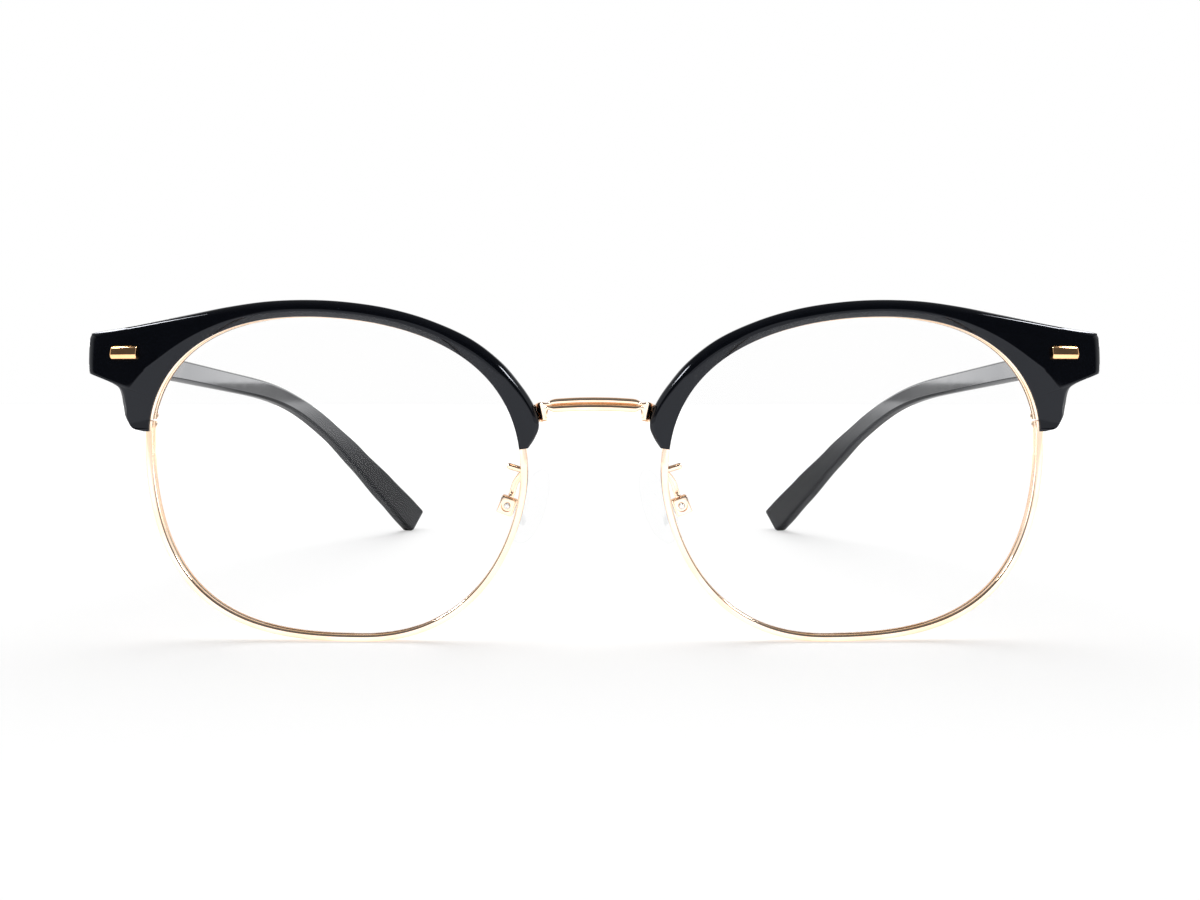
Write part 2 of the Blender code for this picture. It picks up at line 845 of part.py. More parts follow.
def brow_screw_shape(turn):
    place_on_tab = tab_screw_place() + Vector((0, 0, tab_thickness + seat_gap))
    frame = tab_frame(turn) @ Matrix.Translation(place_on_tab)
    length = tab_screw_length + tab_thickness + seat_gap
    return slotted_screw(tab_screw_radius, tab_head_radius, tab_head_height, length, frame,
                         pin_sides)


def temple_root():
    return Vector((endpiece_x - temple_root_thickness / 2, seat_depth() + butt_gap, endpiece_z))


def temple_path(slope):
    # The temple's middle line: nearly straight, then dropping and closing in towards the tip.
    points = [temple_root()]
    frames = []
    step = temple_length / temple_stations
    for index in range(temple_stations + 1):
        way = smooth_step((index * step - temple_bend_start) / temple_bend_length)
        drop = blend(slope, temple_drop, way)
        splay = blend(temple_splay, temple_tip_splay, way)
        along = Vector((-math.sin(splay) * math.cos(drop), math.cos(splay) * math.cos(drop),
                        -math.sin(drop)))
        inwards = Vector((-math.cos(splay), -math.sin(splay), 0))
        frames.append((along, inwards, along.cross(inwards) * -1))
        points.append(points[-1] + along * step)
    return points, frames


def temple_size(share):
    to_waist = table_value(temple_height_shares, share, 1)
    to_tip = table_value(temple_height_shares, share, 2)
    height = blend(blend(temple_root_height, temple_waist_height, to_waist), temple_tip_height, to_tip)
    thickness = blend(blend(temple_root_thickness, temple_waist_thickness, to_waist),
                      temple_tip_thickness, to_tip)
    return height, thickness


def temple_rings(slope):
    points, frames = temple_path(slope)
    rings = []
    for index, (along, inwards, upwards) in enumerate(frames):
        share = index / temple_stations
        height, thickness = temple_size(share)
        if upwards.z < 0:
            upwards = -upwards
        half_height = height / 2
        half_thickness = thickness / 2
        soft = min(temple_edge_round, half_thickness * temple_soft_share)
        outline = ((half_thickness, -half_height + soft), (half_thickness, half_height - soft),
                   (half_thickness - soft, half_height), (-half_thickness + soft, half_height),
                   (-half_thickness + soft / 3, half_height - soft / 3),
                   (-half_thickness, half_height - soft), (-half_thickness, -half_height + soft),
                   (-half_thickness + soft / 3, -half_height + soft / 3),
                   (-half_thickness + soft, -half_height), (half_thickness - soft, -half_height))
        slant = temple_end_slant * ramp(share, (temple_slant_share, 1.0))
        ring = []
        for across, up in outline:
            point = points[index] + inwards * across + upwards * up
            ring.append(point + along * slant * (up / half_height))
        if index == 0:
            for point in ring:
                point.y = points[0].y
        rings.append(ring)
    # The end is drawn in over two more rings, so its corners are round.
    along = frames[-1][0]
    for inset, reach in temple_end_shares:
        middle = sum(rings[temple_stations], Vector()) / len(rings[-1])
        ring = []
        for point in rings[temple_stations]:
            pulled = (middle - point) * (inset * temple_end_round / (temple_tip_height / 2))
            ring.append(point + pulled + along * temple_end_round * reach)
        rings.append(ring)
    return rings


def temple_slope():
    # The slope at which the tip's lowest corner just reaches the ground.
    flat, steep = math.radians(-20), math.radians(30)
    for step in range(search_steps):
        middle = (flat + steep) / 2
        lowest = min(point.z for ring in temple_rings(middle) for point in ring)
        if lowest > 0:
            flat = middle
        else:
            steep = middle
    return flat


slope_at_rest = temple_slope()


def hinge_frame():
    # The hinge's axis is Z, square to the temple's slope. X points outwards and Y backwards.
    origin = Vector((endpiece_x - hinge_axis_inset, seat_depth() + hinge_axis_setback, endpiece_z))
    upwards = Vector((0, math.sin(slope_at_rest), math.cos(slope_at_rest)))
    outwards = Vector((1, 0, 0))
    return frame_matrix(origin, outwards, upwards.cross(outwards), upwards)


def knuckle_levels():
    inner = knuckle_inner_height / 2
    near = inner + knuckle_gap
    return inner, near, near + knuckle_outer_height


def hinge_front_leaf_shape():
    # A plate on the end piece's back with an upper and a lower knuckle.
    frame = hinge_frame()
    inner, near, far = knuckle_levels()
    axis = frame.translation
    plate_frame = Matrix.Translation((axis.x, seat_depth() + seat_gap, axis.z))
    leaf = block((-hinge_plate_inner_reach, 0, -hinge_plate_height / 2),
                 (hinge_plate_outer_reach, hinge_plate_thickness, hinge_plate_height / 2), plate_frame)
    web_back = -hinge_axis_setback + seat_gap + hinge_plate_thickness / 2
    trim = knuckle_outer_height * hinge_web_trim_share
    for low, high in ((near, far), (-far, -near)):
        web = block((-hinge_web_half_width, web_back, low + trim),
                    (hinge_web_half_width, 0, high - trim), frame)
        leaf = combine(leaf, web, 'UNION')
        knuckle = cylinder(knuckle_radius, low, high, knuckle_sides, frame)
        leaf = combine(leaf, knuckle, 'UNION')
    bore = cylinder(hinge_pin_radius + running_gap, -far - cut_overrun, far + cut_overrun,
                    bore_sides, frame)
    return combine(leaf, bore, 'DIFFERENCE')


def temple_side_frame(distance):
    # A place on the temple's inner face: X inwards, Y along the temple, Z up.
    root = temple_root()
    along = Vector((-math.sin(temple_splay) * math.cos(slope_at_rest),
                    math.cos(temple_splay) * math.cos(slope_at_rest), -math.sin(slope_at_rest)))
    inwards = Vector((-math.cos(temple_splay), -math.sin(temple_splay), 0))
    upwards = inwards.cross(along)
    if upwards.z < 0:
        upwards = -upwards
    origin = root + along * distance + inwards * (temple_root_thickness / 2 + seat_gap)
    return frame_matrix(origin, inwards, along, upwards)


def temple_rivet_places():
    return [temple_leaf_lead + temple_leaf_length * share for share in temple_rivet_shares]


def hinge_temple_leaf_shape():
    # A strip on the temple's inner face with the middle knuckle.
    frame = hinge_frame()
    inner, near, far = knuckle_levels()
    side = temple_side_frame(0)
    strip = block((0, temple_leaf_lead, -temple_leaf_height / 2),
                  (temple_leaf_thickness, temple_leaf_lead + temple_leaf_length, temple_leaf_height / 2),
                  side)
    reach = hinge_axis_inset - temple_root_thickness - seat_gap - temple_leaf_thickness / 2
    web_half_height = inner * (1 - hinge_web_trim_share)
    web = block((0, -hinge_web_half_width, -web_half_height),
                (reach, hinge_web_half_width, web_half_height), frame)
    leaf = combine(strip, web, 'UNION')
    leaf = combine(leaf, cylinder(knuckle_radius, -inner, inner, knuckle_sides, frame), 'UNION')
    bore = cylinder(hinge_pin_radius + running_gap, -inner - cut_overrun, inner + cut_overrun,
                    bore_sides, frame)
    leaf = combine(leaf, bore, 'DIFFERENCE')
    for distance in temple_rivet_places():
        hole_frame = side @ Matrix.Translation((0, distance, 0)) @ Matrix.Rotation(math.pi / 2, 4, 'Y')
        hole = cylinder(temple_rivet_radius + running_gap, -cut_overrun,
                        temple_leaf_thickness + cut_overrun, bore_sides, hole_frame)
        leaf = combine(leaf, hole, 'DIFFERENCE')
    return leaf


def rivet_in_temple_frame(distance):
    side = temple_side_frame(distance)
    return side @ Matrix.Rotation(math.pi / 2, 4, 'Y')


def temple_rivet_shape(distance):
    frame = rivet_in_temple_frame(distance)
    head = temple_leaf_thickness + seat_gap
    profile = ((0, -temple_rivet_length), (temple_rivet_radius, -temple_rivet_length),
               (temple_rivet_radius, head), (temple_rivet_head_radius, head),
               (temple_rivet_head_radius * rivet_head_share, head + temple_rivet_head_height),
               (0, head + temple_rivet_head_height))
    return turned(profile, pin_sides, frame)


def hinge_screw_shape():
    frame = hinge_frame()
    inner, near, far = knuckle_levels()
    lift = Matrix.Translation((0, 0, far + seat_gap))
    return slotted_screw(hinge_pin_radius, hinge_head_radius, hinge_head_height,
                         2 * far, frame @ lift, bore_sides)


def temple_shape():
    temple = loft(temple_rings(slope_at_rest))
    for distance in temple_rivet_places():
        hole = cylinder(temple_rivet_radius + running_gap, -temple_rivet_length - seat_gap,
                        cut_overrun, bore_sides, rivet_in_temple_frame(distance))
        temple = combine(temple, hole, 'DIFFERENCE')
    return temple


def bridge_half():
    # Section places for half the bridge: middle point, way across, height and section table.
    half_length = bridge_bar_length / 2
    bar_z = bridge_height
    places = []
    bar_y = bridge_bar_setback
    for share, tall in bar_shares:
        x = half_length * share
        z = bar_z + bridge_arch * (1 - share * share)
        thickness = bridge_bar_thickness * blend(bar_thin_share, 1.0, tall)
        table = bridge_section_shares if tall > bar_full_share else None
        places.append((Vector((x, bar_y, z)), bridge_bar_height * tall, thickness, table))
    seat_turn, reach = opening_foot(Vector((lens_centre_x - half_length, bar_z - lens_centre_z)))
    seat = rim_point(seat_turn, bridge_seat_reach, rim_depth + seat_gap + bridge_strap_thickness / 2)
    for across, back, tall in strap_shares:
        x = blend(half_length, seat.x, across)
        y = blend(bar_y, seat.y, back)
        places.append((Vector((x, y, blend(bar_z, seat.z, across) - bridge_strap_drop * tall)),
                       blend(bridge_neck_height, bridge_strap_height, tall),
                       bridge_strap_thickness, strap_section_shares))
    return places


def bridge_shape():
    places = bridge_half()
    rings = []
    for index, (middle, height, thickness, table) in enumerate(places):
        before = places[max(index - 1, 0)][0]
        after = places[min(index + 1, len(places) - 1)][0]
        along = after - before
        along.z = 0
        if index == 0:
            along = Vector((1, 0, 0))
        along.normalize()
        forwards = Vector((along.y, -along.x, 0))
        ring = []
        for number, (up, deep) in enumerate(bridge_section_shares):
            if table is not bridge_section_shares:
                flat_up, flat_deep = strap_section_shares[number]
                mix = 1.0 if table is strap_section_shares else 0.5
                up = blend(up, flat_up, mix)
                deep = blend(deep, flat_deep, mix)
            lean = bridge_strap_slant if table is strap_section_shares else 0.0
            ring.append(middle + forwards * thickness * (0.5 - deep)
                        + Vector((lean, 0, 1)) * (up * height / 2))
        rings.append(ring)
    mirrored = [[Vector((-point.x, point.y, point.z)) for point in ring] for ring in reversed(rings[1:])]
    return loft(mirrored + rings)


def pad_frame():
    # The pad's middle, set off from its box: X towards the nose, Y along its width, Z along
    # its length.
    upright = Vector((-math.sin(pad_lean), 0, math.cos(pad_lean)))
    level = Vector((-math.cos(pad_lean), 0, -math.sin(pad_lean)))
    inwards = level * math.cos(pad_splay) + Vector((0, 1, 0)) * math.sin(pad_splay)
    box_offset = Vector((-pad_reach, pad_step_back, -pad_drop))
    origin = pad_box_frame().translation + box_offset
    return frame_matrix(origin, inwards, upright.cross(inwards), upright)


def nose_pad_shape():
    # A soft oval pad, flat behind and domed towards the nose.
    frame = pad_frame()
    rings = []
    for size, level in pad_ring_shares:
        ring = []
        for side in range(pad_sides):
            angle = 2 * math.pi * side / pad_sides
            along = math.sin(angle) * pad_length / 2
            narrow = 1.0 + pad_narrow_share * math.sin(angle)
            across = math.cos(angle) * pad_width / 2 / narrow
            ring.append(frame @ Vector((level * pad_thickness, across * size, along * size)))
        rings.append(ring)
    return loft(rings)


def pad_box_frame():
    # X from the box towards the pad, Y along the screw, backwards, and Z along the box.
    upright = Vector((-math.sin(pad_lean), 0, math.cos(pad_lean)))
    level = Vector((-math.cos(pad_lean), 0, -math.sin(pad_lean)))
    origin = Vector((pad_box_inset, pad_box_setback, pad_box_height))
    return frame_matrix(origin, level, Vector((0, 1, 0)), upright)


def pad_box_shape():
    # A box open towards the nose and below, with a bore for the screw through both walls.
    frame = pad_box_frame()
    half_width = pad_box_width / 2
    half_depth = pad_box_depth / 2
    half_length = pad_box_length / 2
    box = block((-half_width, -half_depth, -half_length), (half_width, half_depth, half_length), frame)
    hollow = block((-half_width + pad_box_wall, -half_depth + pad_box_wall, -half_length - cut_overrun),
                   (half_width + cut_overrun, half_depth - pad_box_wall, half_length - pad_box_wall), frame)
    box = combine(box, hollow, 'DIFFERENCE')
    turn = Matrix.Rotation(-math.pi / 2, 4, 'X')
    bore = cylinder(pad_screw_radius + running_gap, -half_depth - cut_overrun,
                    half_depth + cut_overrun, bore_sides, frame @ turn)
    return combine(box, bore, 'DIFFERENCE')


def pad_screw_shape():
    # The head faces the front.
    frame = pad_box_frame()
    half_depth = pad_box_depth / 2
    turn = Matrix.Translation((0, -half_depth - seat_gap, 0)) @ Matrix.Rotation(math.pi / 2, 4, 'X')
    return slotted_screw(pad_screw_radius, pad_screw_head_radius, pad_screw_head_height,
                         pad_box_depth + seat_gap, frame @ turn, head_sides)


def pad_mount_shape():
    # A plate on the pad's back with a stem to an eye round the screw, inside the box.
    pad = pad_frame()
    back = -pad_thickness / 2 - seat_gap - pad_mount_thickness
    plate = block((back, -pad_mount_width / 2, -pad_mount_length / 2),
                  (back + pad_mount_thickness, pad_mount_width / 2, pad_mount_length / 2), pad)
    box = pad_box_frame()
    turn = Matrix.Rotation(-math.pi / 2, 4, 'X')
    half_eye = pad_eye_thickness / 2
    eye = cylinder(pad_eye_radius, -half_eye, half_eye, eye_sides, box @ turn)
    along = box.col[0].to_3d()
    inwards = pad.col[0].to_3d()
    middle = pad @ Vector((back + pad_mount_thickness / 2, 0, 0))
    reach = (middle - box.translation).dot(inwards) / along.dot(inwards)
    half_stem = half_eye * pad_stem_share
    half_tall = pad_eye_radius * pad_stem_share
    stem = block((0, -half_stem, -half_tall), (reach, half_stem, half_tall), box)
    mount = combine(plate, stem, 'UNION')
    mount = combine(mount, eye, 'UNION')
    bore = cylinder(pad_screw_radius + running_gap, -pad_eye_thickness, pad_eye_thickness,
                    bore_sides, box @ turn)
    return combine(mount, bore, 'DIFFERENCE')


def pad_arm_shape():
    # A wire with a short tail across the rim's back, a bend behind the rim, and its end square
    # on the box's top.
    low, high = 3.0, 5.0
    for step in range(search_steps):
        middle = (low + high) / 2
        if rim_point(middle, 0, 0).z < pad_box_height + arm_foot_rise:
            low = middle
        else:
            high = middle
    behind = rim_depth + seat_gap + arm_radius
    tail = rim_point(low, rim_width / 2 - arm_tail_reach, behind)
    foot = rim_point(low, rim_width / 2, behind)
    tail.z += arm_tail_reach / 3
    box = pad_box_frame()
    stop = box @ Vector((0, 0, pad_box_length / 2 + seat_gap))
    above, end = [stop + box.col[2].to_3d() * arm_radius * share for share in arm_rise_shares]
    bends = [foot + (above - foot) * Vector(shares) for shares in arm_bend_shares]
    points = [tail, blend(tail, foot, arm_tail_share), foot, *bends, above, end]
    spans = len(points) - 1
    path = [spline_point(points, spans * index / arm_steps) for index in range(arm_steps + 1)]
    return tube(path + [stop], arm_radius, arm_sides)


def build():
    clear_scene()
    frame_origin = holder_at("frame_origin", Matrix.Identity(4))
    rivet_places = temple_rivet_places()
    for side, side_name in ((1, "left_"), (-1, "right_")):
        mirror = Matrix.Diagonal((side, 1, 1, 1))
        hinge_point = mirror @ hinge_frame().translation
        pad_point = mirror @ pad_box_frame().translation
        temple_holder = holder_at(side_name + "temple_axis", Matrix.Translation(hinge_point),
                                  frame_origin)
        pad_holder = holder_at(side_name + "pad_axis", Matrix.Translation(pad_point), frame_origin)
        pieces = (
            ("rim", rim_shape(), gold_metal, frame_origin),
            ("rim_lock_upper", lock_half_shape(1), gold_metal, frame_origin),
            ("rim_lock_lower", lock_half_shape(-1), gold_metal, frame_origin),
            ("rim_lock_screw", lock_screw_shape(), steel_metal, frame_origin),
            ("lens", lens_shape(), clear_glass, frame_origin),
            ("brow", brow_shape(), black_plastic, frame_origin),
            ("rivet_plate", rivet_plate_shape(), gold_metal, frame_origin),
            ("brow_tab_nasal", brow_tab_shape(tab_shares[0]), gold_metal, frame_origin),
            ("brow_tab_outer", brow_tab_shape(tab_shares[1]), gold_metal, frame_origin),
            ("brow_screw_nasal", brow_screw_shape(tab_shares[0]), steel_metal, frame_origin),
            ("brow_screw_outer", brow_screw_shape(tab_shares[1]), steel_metal, frame_origin),
            ("hinge_front_leaf", hinge_front_leaf_shape(), gold_metal, frame_origin),
            ("hinge_screw", hinge_screw_shape(), steel_metal, frame_origin),
            ("hinge_temple_leaf", hinge_temple_leaf_shape(), gold_metal, temple_holder),
            ("temple_rivet_front", temple_rivet_shape(rivet_places[0]), steel_metal, temple_holder),
            ("temple_rivet_rear", temple_rivet_shape(rivet_places[1]), steel_metal, temple_holder),
            ("temple", temple_shape(), black_plastic, temple_holder),
            ("pad_arm", pad_arm_shape(), gold_metal, frame_origin),
            ("pad_box", pad_box_shape(), gold_metal, frame_origin),
            ("pad_screw", pad_screw_shape(), steel_metal, frame_origin),
            ("pad_mount", pad_mount_shape(), clear_insert, pad_holder),
            ("nose_pad", nose_pad_shape(), clear_rubber, pad_holder),
        )
        for piece_name, shape, finish, holder in pieces:
            place(side_name + piece_name, shape, finish, holder, side)
    place("bridge", bridge_shape(), gold_metal, frame_origin, 1)
    bpy.context.view_layer.update()
    depths = []
    for made in bpy.data.objects:
        if made.type == 'MESH':
            depths.extend((made.matrix_world @ Vector(corner)).y for corner in made.bound_box)
    frame_origin.location.y = -(min(depths) + max(depths)) / 2
    bpy.context.view_layer.update()


build()
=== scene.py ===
# Browline eyeglasses: gold rims and bridge, glossy black brow pieces and temples, clear lenses.
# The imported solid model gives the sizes. Each left piece is made at +X, then mirrored to -X.

import json
import math

import bmesh
import bpy
from mathutils import Matrix, Vector

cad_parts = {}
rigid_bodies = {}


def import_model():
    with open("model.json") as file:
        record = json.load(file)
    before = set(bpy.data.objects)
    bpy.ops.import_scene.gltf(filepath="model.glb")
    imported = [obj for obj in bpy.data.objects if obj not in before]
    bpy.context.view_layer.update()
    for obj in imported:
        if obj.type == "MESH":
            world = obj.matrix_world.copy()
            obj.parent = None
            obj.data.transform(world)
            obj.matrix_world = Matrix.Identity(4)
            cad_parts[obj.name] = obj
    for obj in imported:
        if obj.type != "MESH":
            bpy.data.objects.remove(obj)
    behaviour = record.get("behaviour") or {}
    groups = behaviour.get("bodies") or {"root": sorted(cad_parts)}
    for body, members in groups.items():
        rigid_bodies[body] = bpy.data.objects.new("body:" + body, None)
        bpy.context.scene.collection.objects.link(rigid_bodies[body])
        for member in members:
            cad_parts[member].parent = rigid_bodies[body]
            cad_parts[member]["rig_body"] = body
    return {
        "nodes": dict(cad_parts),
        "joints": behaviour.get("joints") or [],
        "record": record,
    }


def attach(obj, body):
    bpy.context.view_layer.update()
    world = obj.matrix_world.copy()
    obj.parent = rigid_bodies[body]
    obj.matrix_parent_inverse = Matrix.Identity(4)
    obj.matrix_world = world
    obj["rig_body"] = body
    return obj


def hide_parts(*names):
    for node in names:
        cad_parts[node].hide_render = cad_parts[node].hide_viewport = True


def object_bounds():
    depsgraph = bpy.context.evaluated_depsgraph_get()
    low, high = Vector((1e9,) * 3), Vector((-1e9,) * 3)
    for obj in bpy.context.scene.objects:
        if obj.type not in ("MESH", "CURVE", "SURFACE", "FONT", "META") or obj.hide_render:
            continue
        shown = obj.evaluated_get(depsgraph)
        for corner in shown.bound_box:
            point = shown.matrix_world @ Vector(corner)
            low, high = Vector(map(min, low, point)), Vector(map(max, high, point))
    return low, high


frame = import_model()
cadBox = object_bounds()
mounts = {mount["name"]: mount for mount in frame["record"]["mounts"]}
joints = {joint["name"]: joint for joint in frame["joints"]}
bpy.ops.object.select_all(action='DESELECT')
print("frame loaded:", len(frame["nodes"]), "solids")


# The eye shape and the curve of the front

eyeShape = {
    "width": 0.0519,          # boxed lens width
    "height": 0.0446,
    "gap": 0.0190,            # between the lenses
    "endReach": 0.0103,       # end piece past the lens
    "bevel": 0.0004,
    "curveRadius": 0.140,
    "wrapOffset": 0.0046,
    "knots": ((0.9904, 0.0389), (-0.1795, 1.0183), (-1.0224, 0.3086), (0.1472, -0.981)),
    "leaving": (0.859, 0.884, 0.930, 0.811),
    "arriving": (0.349, 0.234, 0.491, 0.260),
    "endMiddle": 0.781,       # height of the end piece's middle
    "seatMargin": 0.0014,     # flat back of the end piece behind the curve
    "seatGap": 0.00005,
    "bridgeBack": 0.0020,     # the bridge mount's face behind the front curve
    "footTurns": (0.0, 2.2),  # the part of the opening that brow piece and bridge stand on
}
rim = {
    "width": 0.00095, "depth": 0.0019, "corner": 0.00020, "frontRound": 0.00035,
    "splitGap": 0.0003, "splitTurn": 1.905, "grooveReach": 0.00046, "grooveHalf": 0.00026,
    "grooveFloor": 0.1, "frontPower": 0.8, "stations": 300, "frontSteps": 14, "cornerSteps": 3,
}

halfWide = eyeShape["width"] / 2 - eyeShape["bevel"]
halfTall = eyeShape["height"] / 2 - eyeShape["bevel"]
eyeX = eyeShape["gap"] / 2 + eyeShape["width"] / 2
eyeZ = rim["width"] - eyeShape["knots"][3][1] * halfTall
curveX = eyeX - eyeShape["wrapOffset"]
endX = eyeX + halfWide + eyeShape["endReach"]
endZ = eyeZ + eyeShape["endMiddle"] * halfTall
frontY = mounts["bridge_back"]["pos_m"][1] - eyeShape["bridgeBack"]
hingeAxis = Vector(joints["left_temple_hinge"]["axis"])
templeSlope = math.atan2(hingeAxis.y, hingeAxis.z)

halvings = 45            # steps of a search between two limits
smallTurn = 0.001        # a short way along the opening, to find its direction
smallReach = 0.000001
mergeReach = 0.0000004   # points nearer than this are one point
overrun = 0.001          # a cutting tool runs on this far past the piece


def mix(low, high, share):
    return low + (high - low) * share


def ease(share):
    share = min(max(share, 0.0), 1.0)
    return share * share * (3 - 2 * share)


def rampUp(value, start, end):
    return ease((value - start) / (end - start))


def splinePoint(points, position):
    # a smooth curve through the points, position counted in spans
    span = min(int(position), len(points) - 2)
    part = position - span
    first, second = points[span], points[span + 1]
    leaving = (second - points[span - 1]) / 2 if span > 0 else second - first
    arriving = (points[span + 2] - first) / 2 if span + 2 < len(points) else second - first
    square, cube = part ** 2, part ** 3
    return (first * (2 * cube - 3 * square + 1) + leaving * (cube - 2 * square + part)
            + second * (3 * square - 2 * cube) + arriving * (cube - square))


def frontDepth(x, z):
    across, up = abs(x) - curveX, z - eyeZ
    radius = eyeShape["curveRadius"]
    return radius - math.sqrt(radius ** 2 - across ** 2 - up ** 2)


def eyeQuarter(quarter):
    knots = [Vector((across * halfWide, up * halfTall)) for across, up in eyeShape["knots"]]
    start, end = knots[quarter], knots[(quarter + 1) % 4]
    way = end - start
    upright = Vector((0, way.y))
    level = Vector((way.x, 0))
    leaving, arriving = (upright, level) if quarter % 2 == 0 else (level, upright)
    return (start, start + leaving * eyeShape["leaving"][quarter],
            end - arriving * eyeShape["arriving"][quarter], end)


eyeQuarters = [eyeQuarter(quarter) for quarter in range(4)]


def eyeEdge(turn):
    # a point of the lens opening and the way outwards, in quarters from the nose over the top
    start, leaving, arriving, end = eyeQuarters[int(turn) % 4]
    part = turn - int(turn)
    rest = 1 - part
    point = (start * rest ** 3 + leaving * (3 * rest * rest * part)
             + arriving * (3 * rest * part * part) + end * part ** 3)
    along = ((leaving - start) * rest ** 2 + (arriving - leaving) * (2 * rest * part)
             + (end - arriving) * part ** 2).normalized()
    return point, Vector((along.y, -along.x))


def ontoFront(point, back):
    x, z = eyeX - point.x, eyeZ + point.y
    return Vector((x, frontY + frontDepth(x, z) + back, z))


def rimPoint(turn, out, back):
    point, outwards = eyeEdge(turn)
    return ontoFront(point + outwards * out, back)


def placeMatrix(origin, first, second, third):
    matrix = Matrix((first, second, third)).transposed().to_4x4()
    matrix.translation = origin
    return matrix


def rimPlace(turn, out, back):
    # X outwards, Y along the rim, Z backwards
    origin = rimPoint(turn, out, back)
    outwards = (rimPoint(turn, out + smallReach, back) - origin).normalized()
    along = rimPoint(turn + smallTurn, out, back) - origin
    along = (along - outwards * along.dot(outwards)).normalized()
    backwards = outwards.cross(along)
    if backwards.y < 0:
        along, backwards = -along, -backwards
    return placeMatrix(origin, outwards, along, backwards)


def halve(low, high, before):
    # the last place between the limits where before(place) holds
    for _ in range(halvings):
        middle = (low + high) / 2
        if before(middle):
            low = middle
        else:
            high = middle
    return low


def eyeFoot(target):
    # where a line square to the opening meets the target: the turn and the distance
    def before(turn):
        point, outwards = eyeEdge(turn)
        return (target - point).dot(Vector((-outwards.y, outwards.x))) > 0

    turn = halve(*eyeShape["footTurns"], before)
    point, outwards = eyeEdge(turn)
    return turn, (target - point).dot(outwards)


def seatDepth():
    return frontDepth(endX, endZ) + eyeShape["seatMargin"]


# Modelling helpers

def deselectAll():
    bpy.ops.object.select_all(action='DESELECT')


def pick(piece):
    deselectAll()
    piece.select_set(True)
    bpy.context.view_layer.objects.active = piece


def roundEdges(piece, width, segments=3, angle=30):
    bevel = piece.modifiers.new("round", 'BEVEL')
    bevel.width = width
    bevel.segments = segments
    bevel.limit_method = 'ANGLE'
    bevel.angle_limit = math.radians(angle)
    pick(piece)
    bpy.ops.object.modifier_apply(modifier=bevel.name)


def addBlock(low, high, place, width=0, segments=3):
    deselectAll()
    bpy.ops.mesh.primitive_cube_add(size=1)
    piece = bpy.context.object
    piece.scale = [top - bottom for bottom, top in zip(low, high)]
    piece.location = [(top + bottom) / 2 for bottom, top in zip(low, high)]
    bpy.ops.object.transform_apply(location=True, rotation=True, scale=True)
    if width:
        roundEdges(piece, width, segments)
    piece.data.transform(place)
    return piece


def addRound(radius, low, high, place, width=0, segments=3, sides=40):
    deselectAll()
    bpy.ops.mesh.primitive_cylinder_add(vertices=sides, radius=radius, depth=high - low,
                                        location=(0, 0, (low + high) / 2))
    piece = bpy.context.object
    bpy.ops.object.transform_apply(location=True, rotation=True, scale=True)
    if width:
        roundEdges(piece, width, segments, 60)
    piece.data.transform(place)
    return piece


def cutAway(piece, tool):
    cut = piece.modifiers.new("cut", 'BOOLEAN')
    cut.operation = 'DIFFERENCE'
    cut.solver = 'EXACT'
    cut.object = tool
    pick(piece)
    bpy.ops.object.modifier_apply(modifier=cut.name)
    bpy.data.objects.remove(tool, do_unlink=True)
    return piece


def joinPieces(pieces):
    pick(pieces[0])
    for piece in pieces:
        piece.select_set(True)
    bpy.ops.object.join()
    return pieces[0]


screwEdge = 0.3      # rounding of a screw's head and end, as a share of its height or radius


def addScrew(screw, length, place):
    # the head stands above the place and the shank runs below it
    high, wide = screw["headHeight"], screw["slot"] / 2
    head = addRound(screw["headRadius"], 0, high, Matrix.Identity(4), high * screwEdge, 4, 48)
    slot = addBlock((-wide, -2 * overrun, high - screw["slotDepth"]), (wide, 2 * overrun, high + overrun),
                    Matrix.Identity(4))
    head = cutAway(head, slot)
    shank = addRound(screw["radius"], -length, high / 4, Matrix.Identity(4), screw["radius"] * screwEdge, 2, 24)
    piece = joinPieces([head, shank])
    piece.data.transform(place)
    return piece


def skin(rings, centres=(None, None)):
    # a mesh over rings of points, each end capped by one face or by a fan round a centre
    shape = bmesh.new()
    loops = [[shape.verts.new(point) for point in ring] for ring in rings]
    count = len(loops[0])
    for before, after in zip(loops, loops[1:]):
        for index in range(count):
            following = (index + 1) % count
            shape.faces.new((before[index], before[following], after[following], after[index]))
    for loop, centre in zip((loops[0], loops[-1]), centres):
        if centre is None:
            shape.faces.new(loop)
            continue
        tip = shape.verts.new(centre)
        for index in range(count):
            shape.faces.new((loop[index], loop[(index + 1) % count], tip))
    mesh = bpy.data.meshes.new("skin")
    shape.to_mesh(mesh)
    shape.free()
    piece = bpy.data.objects.new("skin", mesh)
    bpy.context.scene.collection.objects.link(piece)
    return piece


cornerReach = 0.46       # a corner's curve takes up this share of an edge at most


def softLoop(corners):
    # a closed outline from (across, up, radius, steps) corners, each turned on a small curve
    loop = []
    for index, (across, up, radius, steps) in enumerate(corners):
        here = Vector((across, up))
        if not steps:
            loop.append(here)
            continue
        before = Vector(corners[index - 1][:2]) - here
        after = Vector(corners[(index + 1) % len(corners)][:2]) - here
        start = here + before.normalized() * min(radius, before.length * cornerReach)
        end = here + after.normalized() * min(radius, after.length * cornerReach)
        for step in range(steps + 1):
            share = step / steps
            loop.append(mix(mix(start, here, share), mix(here, end, share), share))
    return loop


def camelName(side, node):
    words = node.split("_")
    return side + "".join(word.capitalize() for word in words)


